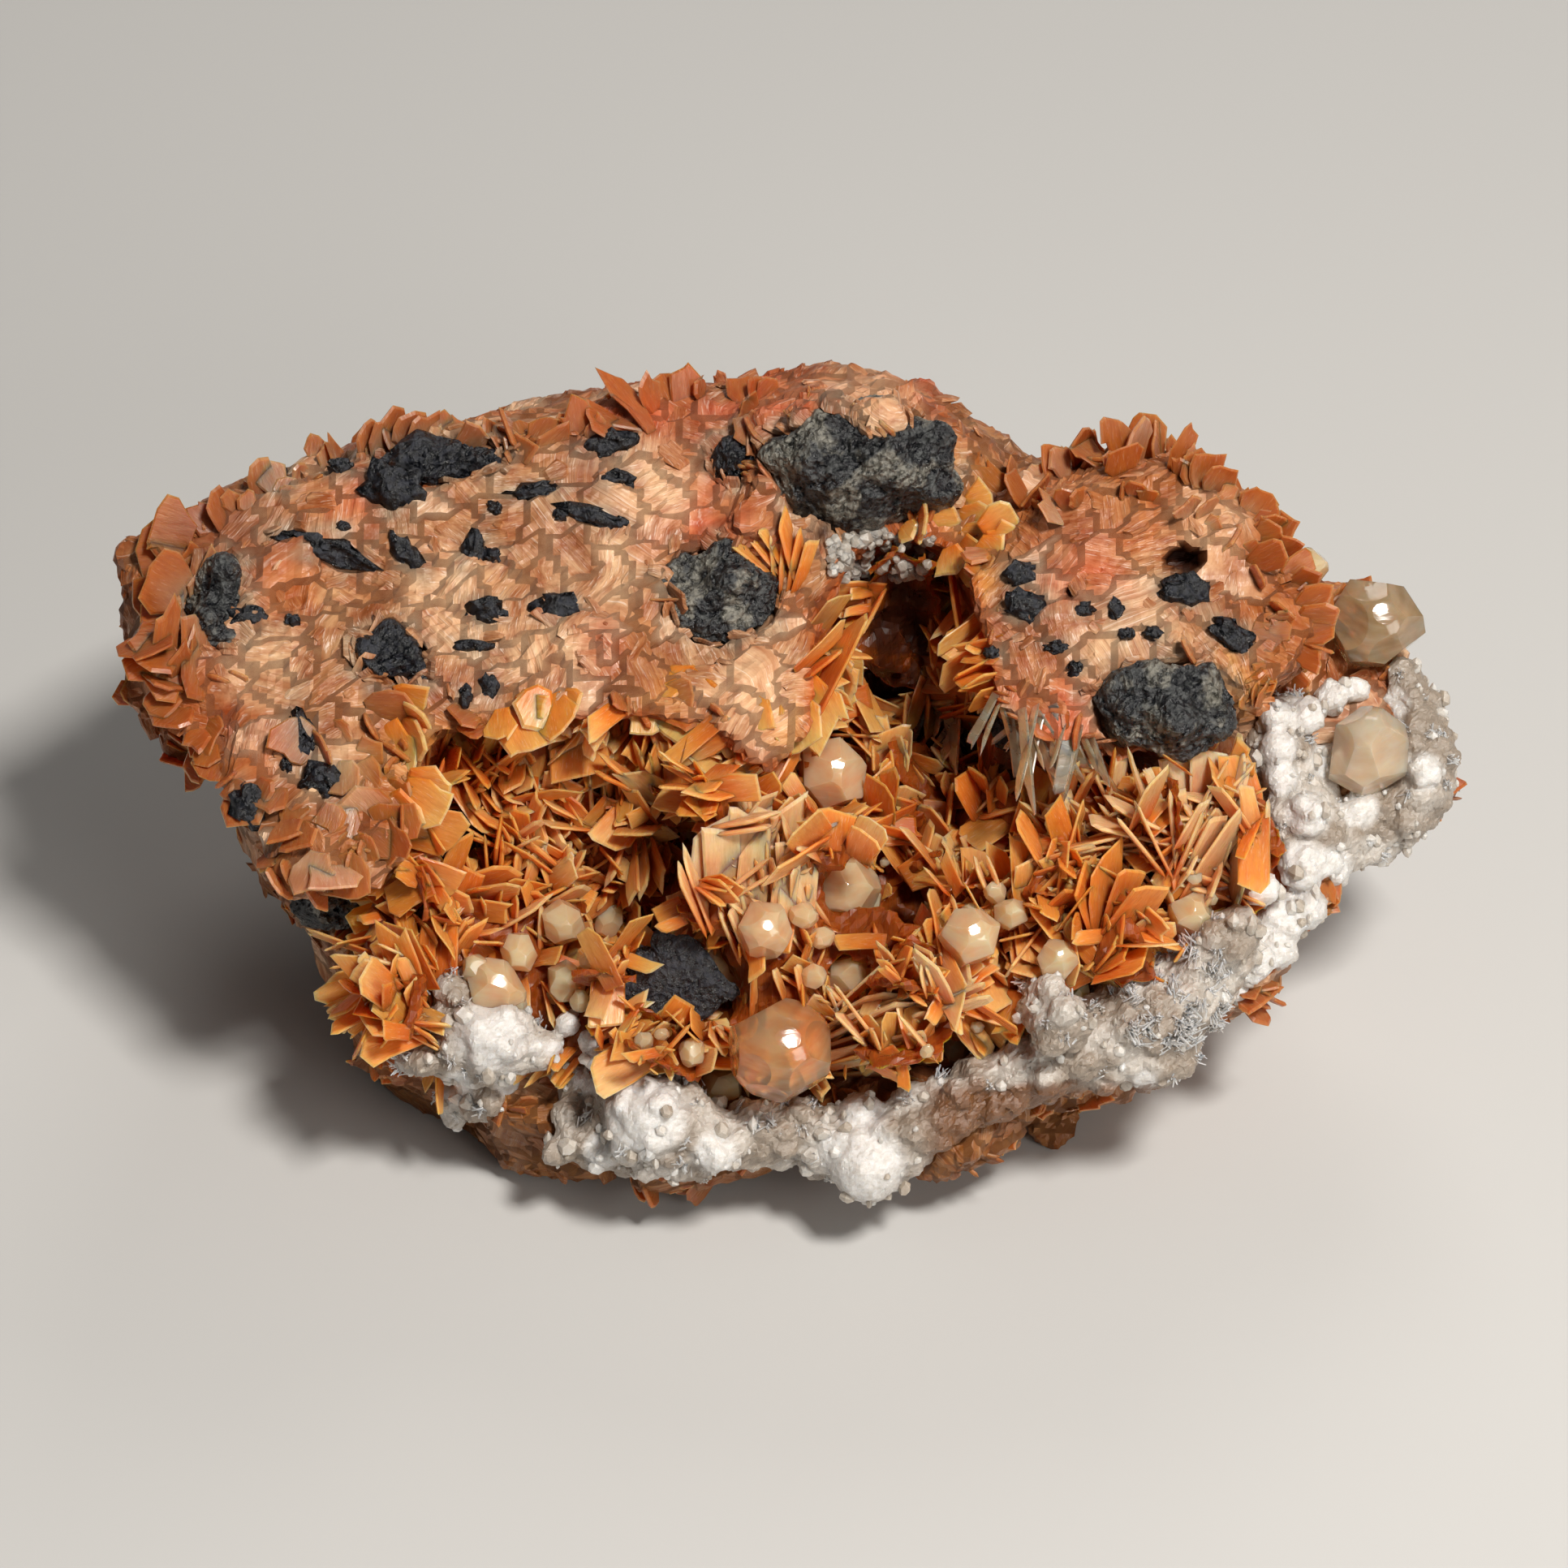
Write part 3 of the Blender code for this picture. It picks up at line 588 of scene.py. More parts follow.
# How far apart two crystals' grains start
GRAIN_STEP = 3.7


class Blades:
    """Thin tabular crystals: where each starts, which way it points, which way it faces, and its size."""

    def __init__(self, roots, outs, flats, lengths, widths, thicks, tones, bends):
        self.roots, self.outs, self.flats = roots, outs, flats
        self.lengths, self.widths, self.thicks = lengths, widths, thicks
        self.tones, self.bends = tones, bends

    def kept(self, which):
        """Some of the blades."""
        return Blades(*(values[which] for values in vars(self).values()))

    def halves(self):
        """The blades in two sets."""
        middle = len(self.roots) // 2
        return self.kept(slice(0, middle)), self.kept(slice(middle, None))


def joined_blades(sets):
    """Several sets of blades as one."""
    return Blades(*(np.concatenate(values) for values in zip(*(vars(one).values() for one in sets))))


def blade_outlines(blades, shape, dice, ragged, skew):
    """Each blade's own outline, and the smaller one of its two faces inside the bevel."""
    count = len(blades.roots)
    outline = np.repeat(shape[None], count, axis=0)
    outline = outline + dice.normal(0, ragged, outline.shape) * (outline[..., 1:] > 0)
    outline[..., 1] += outline[..., 0] * outline[..., 1] * dice.uniform(-skew, skew, (count, 1))
    middle = outline.mean(axis=1, keepdims=True)
    inset = np.clip(0.9 * blades.thicks / np.minimum(blades.lengths, blades.widths), 0.05, 0.4)
    return outline, outline + (middle - outline) * inset[:, None, None]


def blade_ring(blades, form, side, dish):
    """Where a ring of corners lies: on the upper face with side 0.5, on the lower one with -0.5."""
    lengths, widths = blades.lengths[:, None], blades.widths[:, None]
    u, v = form[..., 0] * widths, form[..., 1] * lengths
    lift = blades.bends[:, None] * (lengths * form[..., 1] ** 2 + dish * u ** 2 / widths)
    lift = lift + side * blades.thicks[:, None]
    across = np.cross(blades.outs, blades.flats)
    return (
        blades.roots[:, None] + blades.outs[:, None] * v[..., None] + across[:, None] * u[..., None]
        + blades.flats[:, None] * lift[..., None]
    )


def blade_mesh(name, blades, shape, dice, ragged=0.05, dish=1.2, skew=0.25):
    """The bevelled blades as one object, and each vertex's blade, share along it, rim and grain."""
    count, corners = len(blades.roots), len(shape)
    outline, face = blade_outlines(blades, shape, dice, ragged, skew)
    forms = (face, outline, face)
    rings = [blade_ring(blades, form, side, dish) for form, side in zip(forms, (0.5, 0.0, -0.5))]
    verts = above_floor(np.concatenate(rings, axis=1).reshape(-1, 3), LOWEST_THIN)
    ring = np.arange(corners)
    after = np.roll(ring, -1)
    quads = [
        np.stack((ring + low, after + low, after + low + corners, ring + low + corners), 1)
        for low in (0, corners)
    ]
    template = np.concatenate((ring[::-1], ring + 2 * corners, *(q.ravel() for q in quads)))
    sizes = [corners, corners] + [4] * (2 * corners)
    piece = repeated_piece(name, verts, count, sizes, template)
    piece.data.shade_flat()
    which = np.repeat(np.arange(count), 3 * corners)
    places = np.concatenate(forms, axis=1)
    u = (places[..., 0] * blades.widths[:, None]).ravel()
    v = (places[..., 1] * blades.lengths[:, None]).ravel()
    rim = np.tile(np.repeat((0.0, 1.0, 0.0), corners), count)
    return piece, which, places[..., 1].ravel(), rim, np.stack((u, v, which * GRAIN_STEP), axis=1)


def fans(spots, normals, dice, sizes, counts, opening, spacing, widths, thicks, toward=0.0, loose=0.45,
         wild=0.12):
    """
    Blades in books: for each spot a few near-parallel blades that spread a little like an opened book.
    Sizes, counts, widths and thicks are each a range, the widths as shares of the length. Toward turns
    the books to the viewer, loose scatters their axes, and wild the blades within each.
    """
    sizes = dice.uniform(*sizes, len(spots))
    counts = dice.integers(*counts, len(spots))
    fan = np.repeat(np.arange(len(spots)), counts)
    step = np.concatenate([np.arange(c) - (c - 1) / 2 for c in counts])
    hinge = square_to(random_units(len(spots), dice), normals)[fan]
    axis = unit(normals - AWAY * toward + dice.normal(0, loose, normals.shape))[fan]
    hinge = square_to(hinge, axis)
    angles = step * opening + dice.normal(0, wild, len(fan))
    out = unit(turned(axis, hinge, angles) + dice.normal(0, 0.6 * wild, (len(fan), 3)))
    flat = square_to(np.cross(hinge, out) + dice.normal(0, 1.3 * wild, out.shape), out)
    lengths = sizes[fan] * dice.uniform(0.65, 1.15, len(fan))
    slide = np.cross(hinge, axis) * (step * spacing)[:, None] + hinge * dice.normal(0, 0.5, (len(fan), 1))
    roots = spots[fan] + slide - out * (lengths * 0.28)[:, None]
    tones = 0.6 * dice.random(len(spots))[fan] + 0.4 * dice.random(len(fan))
    return Blades(
        roots, out, flat, lengths, lengths * dice.uniform(*widths, len(fan)),
        dice.uniform(*thicks, len(fan)), tones, dice.normal(0, 0.04, len(fan)),
    )


def placed_fans(rows, skin, dice, thicks, wild=0, sink=0.0):
    """
    Fans at chosen places. Each row has the root's right and up, the way the fan points in the view
    and how far it leans towards the viewer in degrees, length, width as a share of it, the blades' turn
    from facing the viewer to edge on in degrees, how many, the degrees and the distance between them, tone.
    Thicks is the range of their thickness. Wild adds that many degrees of disorder, and sink starts
    the blades that far behind the surface.
    """
    sets = []
    for right, up, angle, lean, length, width, turn, count, opening, spacing, tone in rows:
        spot, _ = skin.front_or_near(right, up)
        step = np.arange(count) - (count - 1) / 2
        angles = np.radians(angle + step * opening + dice.normal(0, 3 + wild, count))
        leans = np.radians(lean + dice.normal(0, 6 + wild, count))
        in_view = RIGHT * np.cos(angles)[:, None] + UP * np.sin(angles)[:, None]
        out = in_view * np.cos(leans)[:, None] - AWAY * np.sin(leans)[:, None]
        face = square_to(np.repeat(-AWAY[None], count, 0), out)
        flat = turned(face, out, np.radians(turn + dice.normal(0, 7 + wild, count)))
        lengths = length * dice.uniform(0.8 - 0.02 * wild, 1.1, count)
        sideways = np.cross(face, out)
        roots = spot + sideways * (step * spacing)[:, None] - out * (0.2 * lengths)[:, None]
        roots = roots - face * (step * 0.25 * math.cos(math.radians(turn)))[:, None] + AWAY * sink
        tones = np.maximum(tone + dice.normal(0, 0.12, count), 0)
        sets.append(Blades(
            roots, out, flat, lengths, lengths * width * dice.uniform(0.85, 1.15, count),
            dice.uniform(*thicks, count), tones, dice.normal(0, 0.03, count),
        ))
    return joined_blades(sets)


def within_box(blades):
    """The blades whose tips stay inside the solids' box, but for OVER."""
    tips = blades.roots + blades.outs * blades.lengths[:, None]
    spare = OVER - 0.45 * blades.widths[:, None] * np.sqrt(1 - blades.outs ** 2)
    low, high = (np.array(corner) / MM for corner in CAD_BOX)
    return blades.kept(((tips > low - spare) & (tips < high + spare)).all(axis=1))


def out_of_sight_of(blades, discs):
    """The blades that hide none of the discs from the viewer. Each disc has right, up, away and radius."""
    free = np.ones(len(blades.roots), bool)
    across = np.cross(blades.outs, blades.flats)
    for share in (0.1, 0.4, 0.7, 1.0):
        for side in (-0.4, 0.0, 0.4):
            points = (
                blades.roots + blades.outs * (blades.lengths * share)[:, None]
                + across * (blades.widths * side)[:, None]
            )
            right, up, away = view_of(points)
            for disc in discs:
                near = np.hypot(right - disc[0], up - disc[1]) < disc[3]
                free &= ~(near & (away < disc[2] + 0.2 * disc[3]))
    return blades.kept(free)


# The massive barite

MATRIX_VOXEL = 0.50
# Rock that lies over the galena's upper edge: right, up, radius
EXTRA_ROCK = [
    (6.6, 24.5, 1.8), (5.2, 24.8, 1.3), (7.8, 25.0, 1.1), (3.4, 25.4, 1.2), (1.4, 24.7, 1.2),
    (-1.0, 24.0, 1.4), (12.6, 22.6, 0.9), (-2.4, 17.4, 1.2), (-0.6, 16.6, 1.3),
]
ROCK_BACK = 0.1
PATCH_COUNT = 2200
LEDGE_STEP = 1.1
LEDGE_HEIGHT = 0.36
# The grey halo round the galena: how far out it starts, and how wide it is
HALO_START = 0.9
HALO = 0.9

# Places of the red, amber, nearly white and yellow stains: right, up, radius
RED_PLACES = [
    (-28.5, 19.4, 3.2), (-5.2, 18.0, 5.5), (-8.5, 17.0, 4.0), (-3.0, 25.2, 8.0), (-9.5, 24.5, 5.0),
    (20.5, 14.2, 4.5), (17.8, 4.4, 5.0), (-41.5, 6.5, 4.5), (-37.0, 2.5, 4.0), (-13.5, 9.5, 3.5),
    (8.0, 27.0, 4.0),
]
AMBER_PLACES = [
    (-42.5, 12.0, 5.5), (-42.5, 6.0, 6.0), (-38.5, 0.0, 5.0), (22.0, 21.5, 5.0), (30.5, 18.0, 6.0),
    (35.0, 12.0, 6.0), (25.5, 20.0, 4.5), (30.0, 19.5, 4.0), (35.0, 7.5, 5.0), (14.0, 17.5, 4.0),
    (-29.0, -2.0, 5.0), (-6.0, 4.5, 4.0), (-20.0, 3.5, 4.0),
]
PALE_PLACES = [
    (-30.4, 0.9, 3.4), (-2.2, 7.0, 5.5), (23.6, 9.4, 5.0), (28.5, 17.5, 3.5), (6.6, 25.2, 3.2),
    (-38.0, 12.5, 3.0), (-35.0, 8.0, 3.5), (-22.0, 12.8, 5.0), (-12.5, 15.0, 4.5), (-9.0, 20.0, 4.0),
    (-33.0, 22.0, 3.5), (-16.0, 9.0, 4.0),
]
OCHRE_PLACES = [
    (-24.0, 2.2, 3.6), (-22.8, -0.8, 3.2), (-6.8, 4.8, 3.8), (1.2, 4.6, 3.6), (11.5, 18.2, 5.0),
    (9.5, 8.6, 2.6), (11.0, 5.0, 3.0), (13.0, 14.5, 3.5), (-27.0, 1.0, 2.6), (30.5, 7.0, 3.0),
    (-18.0, 4.0, 3.0),
]
# Each stain's colour and places, its strength, how much more it covers, and the most that it hides
STAINS = [
    (RED_STAIN, RED_PLACES, 1.5, 0.0, 1.0), (OCHRE, OCHRE_PLACES, 1.6, 0.2, 1.0),
    (AMBER, AMBER_PLACES, 1.8, 0.2, 0.9), (PALE, PALE_PLACES, 2.2, 0.1, 0.8),
]
# Places where shade is painted, the same way: the dark crevice below the top lump of galena, and the deepest
# places of the hollow
CREVICE_SHADE_PLACES = [(7.0, 17.4, 2.2), (4.4, 18.0, 1.6), (9.6, 18.0, 1.4), (2.4, 17.0, 1.2)]
DEEP_SHADE_PLACES = [
    (7.6, 10.2, 3.2), (7.2, 7.0, 3.0), (8.4, 12.8, 2.4), (7.6, -8.8, 2.4), (12.4, 13.4, 1.2),
    (12.0, -1.0, 2.0),
]

# Pits in the front: right, up, half width, half height, depth
PITS = [(26.9, 15.1, 1.35, 0.85, 3.0), (30.6, 9.4, 0.7, 0.45, 1.6), (19.2, 12.9, 0.5, 0.4, 1.2)]
# How far back in the view pits and the halo of small galena grains reach
PITS_TO = 12
SPECKS_TO = 25
FAR_OFF = 9.0

GALENA_TREE = place_tree(np.concatenate(
    [mesh_arrays(solid.data)[0] for name, solid in NODES.items() if name.startswith("galena_")]
))


def pit_share(points):
    """How deep each point is in a pit, from 0 at its edge to 1, times the pit's depth in mm."""
    right, up, away = view_of(points)
    depth = np.zeros(len(points))
    for x, y, wide, high, deep in PITS:
        share = 1 - ((right - x) / wide) ** 2 - ((up - y) / high) ** 2
        depth = np.maximum(depth, np.where(away < PITS_TO, smooth_step(share, -0.25, 0.35) * deep, 0))
    return depth


def near_galena(points):
    """Grey halo round the galena: 1 beside it, and 0 from HALO on."""
    lumps = np.array([GALENA_TREE.find(Vector(p))[2] for p in points])
    right, up, away = view_of(points)
    specks = np.full(len(points), FAR_OFF)
    for x, y, wide, high, turn in SPECKS:
        angle = math.radians(turn)
        u = (right - x) * math.cos(angle) + (up - y) * math.sin(angle)
        v = (up - y) * math.cos(angle) - (right - x) * math.sin(angle)
        reach = (np.sqrt((u / wide) ** 2 + (v / high) ** 2) - 1) * min(wide, high)
        specks = np.minimum(specks, np.where(away < SPECKS_TO, reach, FAR_OFF))
    return 1 - np.clip(np.minimum(lumps - HALO_START, specks) / HALO, 0, 1)


def deep_shade(points, colour):
    """The colour with painted shade: nearly black in the deepest places."""
    _, _, away = view_of(points)
    share = near_places(points, DEEP_SHADE_PLACES) * 2.0 * smooth_step(away, -4.0, 1.0) * (away < BACK_FROM)
    return blend(colour, CREVICE_SHADE, np.clip(share, 0, 0.95))


def hollow_shade(points, colour, patchy):
    """The colour with painted shade: dark in the crevice, the pits and the hollow."""
    _, _, away = view_of(points)
    in_front = away < BACK_FROM
    # Painted shade in the crevice below the top lump of galena
    crevice = near_places(points, CREVICE_SHADE_PLACES) * 2.0 * np.clip(patchy + 0.3, 0, 1) * in_front
    colour = blend(colour, CREVICE_SHADE, crevice)
    # Painted shade in the pits
    colour = blend(colour, CREVICE_SHADE, smooth_step(pit_share(points), 0.3, 1.4) * 0.95)
    # Painted shade in the hollow: its walls go from the roots' deep orange to near black further back
    inside = smooth_step(-in_hollow(points), -1.10, -0.98) * in_front
    dark = blend(ROOT, CREVICE_SHADE, smooth_step(away, -2.0, 9.0))
    return deep_shade(points, blend(colour, dark, inside * 0.95))


def barite_colour(points, shades):
    """Colour of the massive barite at the points, with one random value for each, and with painted shade in
    the crevice, the pits and the hollow.
    """
    broad = ripples(points, 9.0, 1) * 0.5 + 0.5
    middle = ripples(points, 3.2, 2) * 0.5 + 0.5
    colour = blend(PEACH, ROSE, smooth_step(broad, 0.45, 0.75) * 0.75)
    colour = blend(colour, CREAM, smooth_step(middle, 0.50, 0.78) * 0.6)
    colour = blend(colour, ORANGE, smooth_step(ripples(points, 5.0, 3), 0.15, 0.5) * 0.30)
    colour = blend(colour, WHITE, (shades > 0.86) * 0.55)
    colour = colour * (0.72 + 0.28 * shades)[:, None]
    patchy = 0.55 + 0.9 * ripples(points, 2.4, 4)
    for stain, places, strength, more, most in STAINS:
        share = near_places(points, places) * strength * np.clip(patchy + more, 0, most)
        colour = blend(colour, stain, share)
    grey = near_galena(points) * np.clip(0.5 + 1.2 * ripples(points, 1.2, 6), 0, 0.9)
    colour = blend(colour, GREY_BARITE, grey)
    veins = 1 - np.abs(ripples(points, 2.6, 7) + 0.4 * ripples(points, 0.9, 8)) / 0.10
    colour = blend(colour, ROSE, np.clip(veins, 0, 1) * 0.6)
    _, up, _ = view_of(points)
    low = smooth_step(-up, 18.0, 21.5) * smooth_step(-points[:, 1], -2.0, 6.0)
    colour = blend(colour, UNDER, low * 0.92)
    colour = blend(colour, UNDER, smooth_step(-points[:, 2], -7.0, -1.0) * 0.6)
    return hollow_shade(points, colour, patchy)


def rock():
    """The massive barite's solid with the extra rock, as one skin of small faces."""
    whole = Skin(*NODES.values())
    spots = np.array([whole.front(right, up)[0] for right, up, _ in EXTRA_ROCK])
    radii = np.array([radius for _, _, radius in EXTRA_ROCK])
    extra = balls_piece("extra_rock", spots + AWAY * (ROCK_BACK * radii)[:, None], radii)
    piece = joined("massive_barite", NODES["barite_body"], extra)
    one_skin(piece, MATRIX_VOXEL)
    return piece


def massive_barite(dice):
    """The specimen's own rock: patches of stacked plates, each with its own direction."""
    piece = rock()
    verts, normals = vertex_data(piece)
    seeds = verts[dice.choice(len(verts), PATCH_COUNT, replace=False)]
    tree = place_tree(seeds)
    patch = np.array([tree.find(Vector(p))[1] for p in verts + drifts(verts, 1.6, 5) * 0.8])
    stack = unit(drifts(seeds, 14.0, 20) * 2.0 + random_units(PATCH_COUNT, dice) * 0.9)
    across = square_to(random_units(PATCH_COUNT, dice), stack)
    rel = verts - seeds[patch]
    level = (rel * stack[patch]).sum(1)
    steps = LEDGE_STEP * (0.6 + 0.9 * dice.random(PATCH_COUNT))[patch]
    phase = (level + 0.35 * ripples(verts, 1.3, 9)) / steps
    ledges = phase - np.floor(phase)
    tilt = 1 - np.abs((normals * stack[patch]).sum(1))
    height = LEDGE_HEIGHT * (ledges - 0.5) * tilt
    height += (dice.random(PATCH_COUNT)[patch] - 0.5) * 0.55
    height += 0.30 * ripples(verts, 2.6, 10) + 0.16 * ripples(verts, 0.9, 11)
    flat_base = smooth_step(verts[:, 2], 0.25, 1.6)
    verts = verts + normals * (height * flat_base)[:, None]
    verts = above_floor(verts + AWAY * (pit_share(verts) * (normals @ AWAY < 0))[:, None], 0.0)
    reshape(piece, verts)
    shade = dice.random(PATCH_COUNT)[patch]
    along = (rel * across[patch]).sum(1)
    painted(piece, barite_colour(verts, shade), np.stack((level, along, patch * GRAIN_STEP), axis=1))
    return dress(piece, MATRIX, "barite_body", "barite_body")


# Plates on the massive barite

FLUSH_PLATES = 1500
EDGE_SPOTS = 2600
# How far round a place its edge is looked for, and every how many vertices count
EDGE_REACH = 3.2
SAMPLE_STEP = 7
# Bits of barite over each lump of galena, and how many places are tried
MARGIN_BITS = 70
MARGIN_TRIES = 1500
PLATE_AMBER = 0.45
PLATE_SHADE = 0.86
# How far behind the surface the fringe's blades start
FRINGE_SINK = 1.3

# Petals along the massive barite's edges, with the values that placed_fans() names
PETALS = [
    (-40.5, 16.0, 165, 10, 3.6, 1.1, 25, 3, 14, 0.8, 0.6),
    (-41.0, 12.5, 180, 15, 3.8, 1.1, 35, 3, 12, 0.9, 0.5),
    (-41.5, 9.0, 185, 15, 3.8, 1.1, 35, 3, 12, 0.9, 0.6),
    (-41.0, 5.8, 205, 15, 3.6, 1.0, 30, 3, 14, 0.9, 0.5),
    (-38.5, 2.5, 225, 15, 3.2, 1.0, 30, 3, 14, 0.8, 0.6),
    (-40.6, 7.0, 88, 20, 6.5, 0.4, 60, 4, 4, 0.8, 0.4), (-39.5, 10.5, 92, 20, 5.5, 0.4, 60, 3, 4, 0.8, 0.5),
    (-36.5, 0.0, 230, 20, 3.0, 1.0, 30, 3, 16, 0.8, 0.6),
    (-31.5, 3.0, -70, 20, 3.8, 1.0, 12, 3, 22, 0.9, 0.7),
    (-28.5, 1.0, -50, 20, 3.6, 1.0, 14, 3, 22, 0.9, 0.8),
    (-29.5, -2.0, -75, 20, 3.6, 1.0, 12, 3, 22, 0.9, 0.7),
    (-32.5, -3.0, -100, 20, 3.4, 1.0, 14, 3, 22, 0.9, 0.6),
    (-27.5, -3.5, -60, 20, 3.2, 1.0, 14, 3, 20, 0.9, 0.8),
    (-30.5, -5.5, -85, 20, 3.2, 1.0, 12, 3, 20, 0.9, 0.7),
    (-34.0, -0.5, -110, 20, 3.2, 1.0, 14, 3, 20, 0.9, 0.6),
    (-27.5, 4.5, -40, 20, 3.2, 1.0, 14, 2, 20, 0.9, 0.7),
    (-27.0, 22.5, 75, 5, 3.4, 0.9, 30, 3, 22, 0.8, 0.6),
    (-24.0, 22.8, 95, 5, 3.2, 0.9, 30, 3, 22, 0.8, 0.7),
    (-19.5, 22.6, 100, 5, 3.2, 0.9, 30, 3, 22, 0.8, 0.6),
    (-16.5, 23.0, 80, 5, 3.2, 0.9, 30, 3, 22, 0.8, 0.6),
    (-33.0, 20.5, 100, 5, 2.4, 0.9, 30, 2, 22, 0.8, 0.7),
    (-36.5, 18.6, 120, 5, 2.4, 1.0, 30, 2, 22, 0.8, 0.5),
    (-10.0, 24.0, 158, 5, 4.8, 0.5, 30, 3, 14, 0.7, 0.4),
    (-9.5, 25.3, 130, 5, 3.2, 0.7, 30, 3, 16, 0.7, 0.4),
    (-6.5, 26.0, 100, 5, 2.6, 0.9, 30, 3, 18, 0.8, 0.4), (-2.0, 26.0, 85, 5, 2.2, 1.0, 30, 3, 18, 0.8, 0.4),
    (16.5, 19.0, 120, 10, 3.6, 0.8, 25, 2, 15, 0.8, 0.6),
    (22.5, 21.0, 98, 10, 3.0, 1.0, 25, 2, 15, 0.8, 0.6),
    (27.0, 20.6, 75, 10, 3.2, 0.9, 25, 2, 15, 0.8, 0.5),
    (32.0, 17.0, 50, 10, 2.8, 1.0, 25, 2, 15, 0.8, 0.7),
    (35.0, 11.5, 10, 10, 2.6, 0.9, 30, 2, 15, 0.8, 0.6),
    (13.5, 15.0, 190, 10, 2.6, 0.8, 25, 2, 15, 0.8, 0.6),
]

# Smaller ones along the upper outline, the same way
RIM_PETALS = [
    (14.6, 19.8, 130, 15, 3.0, 0.8, 25, 3, 20, 0.8, 0.6),
    (18.0, 20.8, 112, 15, 3.2, 0.8, 35, 3, 20, 0.8, 0.8),
    (20.2, 21.6, 98, 12, 3.4, 0.8, 25, 4, 18, 0.8, 0.7),
    (22.6, 22.0, 88, 15, 3.4, 0.7, 45, 3, 18, 0.8, 0.9),
    (24.8, 22.0, 82, 12, 3.4, 0.8, 25, 4, 18, 0.8, 0.6),
    (27.0, 21.2, 70, 15, 3.2, 0.7, 45, 3, 18, 0.8, 0.8),
    (28.8, 20.0, 62, 12, 3.0, 0.8, 25, 3, 18, 0.8, 0.6),
    (30.8, 18.6, 50, 12, 3.0, 0.8, 35, 3, 18, 0.8, 0.8),
    (33.0, 16.2, 35, 12, 2.8, 0.8, 25, 3, 18, 0.8, 0.6),
    (34.4, 13.6, 18, 12, 2.8, 0.8, 35, 3, 18, 0.8, 0.7), (35.0, 9.4, -5, 15, 2.8, 0.8, 25, 3, 18, 0.8, 0.6),
    (34.2, 6.8, -20, 18, 2.6, 0.8, 35, 3, 18, 0.8, 0.8),
    (19.0, 18.6, 105, 30, 2.6, 0.8, 30, 3, 20, 0.8, 0.8),
    (23.6, 19.4, 90, 30, 2.6, 0.8, 30, 3, 20, 0.8, 0.9),
    (28.0, 18.0, 65, 30, 2.6, 0.8, 30, 3, 20, 0.8, 0.8),
    (31.6, 14.8, 40, 30, 2.4, 0.8, 30, 3, 20, 0.8, 0.7),
    (32.8, 11.0, 10, 30, 2.4, 0.8, 30, 3, 20, 0.8, 0.8),
    (-30.6, 21.4, 95, 8, 2.6, 0.8, 30, 3, 20, 0.8, 0.7),
    (-22.0, 23.0, 88, 8, 2.8, 0.8, 30, 3, 20, 0.8, 0.7),
    (-13.6, 23.6, 85, 8, 2.8, 0.8, 30, 3, 20, 0.8, 0.6),
    (-38.4, 17.4, 135, 10, 2.8, 0.8, 30, 3, 20, 0.8, 0.6),
    (-34.8, 19.6, 112, 8, 2.6, 0.8, 30, 3, 20, 0.8, 0.7),
]

# Yellow petals, the same way
OCHRE_PETALS = [
    (-25.5, 3.6, -40, 25, 3.8, 0.9, 25, 3, 25, 0.9, 0.5),
    (-23.0, 1.8, -60, 25, 3.8, 0.9, 25, 3, 25, 0.9, 0.6),
    (-20.5, 3.5, -70, 25, 3.8, 0.9, 25, 3, 25, 0.9, 0.3),
    (-18.0, 4.5, -65, 25, 3.6, 0.9, 25, 3, 25, 0.9, 0.3),
    (-25.0, -0.5, -30, 25, 3.4, 0.9, 25, 3, 25, 0.9, 0.6),
    (-22.5, -1.5, -50, 25, 3.2, 0.9, 25, 3, 25, 0.9, 0.8),
    (-15.5, 5.5, -80, 25, 3.2, 0.9, 25, 3, 25, 0.9, 0.2),
    (-26.0, 5.5, -20, 20, 2.6, 0.9, 25, 2, 25, 0.9, 0.2),
    (9.0, 17.5, -30, 25, 2.8, 1.1, 15, 3, 35, 0.8, 0.5),
    (12.5, 18.5, 10, 25, 2.8, 1.1, 15, 3, 35, 0.8, 0.5),
    (12.0, 15.5, -40, 25, 3.0, 1.1, 15, 3, 35, 0.8, 0.8),
    (14.0, 16.5, 0, 25, 3.0, 1.1, 15, 3, 35, 0.8, 0.7), (9.5, 14.5, -80, 25, 2.6, 1.1, 15, 3, 35, 0.8, 0.9),
    (11.0, 12.8, -60, 25, 2.6, 1.1, 15, 3, 35, 0.8, 0.9),
    (11.3, 8.5, 170, 20, 2.6, 1.2, 15, 2, 15, 0.6, 0.8), (12.3, 5.2, 180, 15, 3.2, 0.8, 60, 3, 5, 0.7, 0.6),
]

# Yellow layers under the slab's rounded tip, the same way
TIP_FRINGE = [
    (-2.4, 5.6, -92, 2, 5.0, 1.3, 8, 3, 8, 1.0, 0.9), (-5.2, 6.0, -114, 2, 4.6, 1.1, 12, 3, 12, 0.9, 0.9),
    (0.6, 5.8, -64, 2, 4.6, 1.1, 12, 3, 12, 0.9, 0.8), (2.2, 7.4, -35, 2, 3.8, 1.0, 15, 3, 12, 0.8, 0.7),
    (-7.8, 6.4, -125, 4, 4.4, 0.9, 15, 3, 16, 0.9, 0.9), (-9.8, 6.6, -120, 6, 3.8, 0.9, 20, 3, 16, 0.9, 0.7),
]


def convexity(points, normals, verts):
    """How much the surface turns away round each point: 0 where flat, above 0.2 on an edge."""
    sample = verts[::SAMPLE_STEP]
    tree = place_tree(sample)
    turn = np.zeros(len(points))
    for index, point in enumerate(points):
        near = [found[1] for found in tree.find_range(Vector(point), EDGE_REACH)]
        if near:
            turn[index] = (point - sample[near].mean(axis=0)) @ normals[index] / EDGE_REACH
    return turn


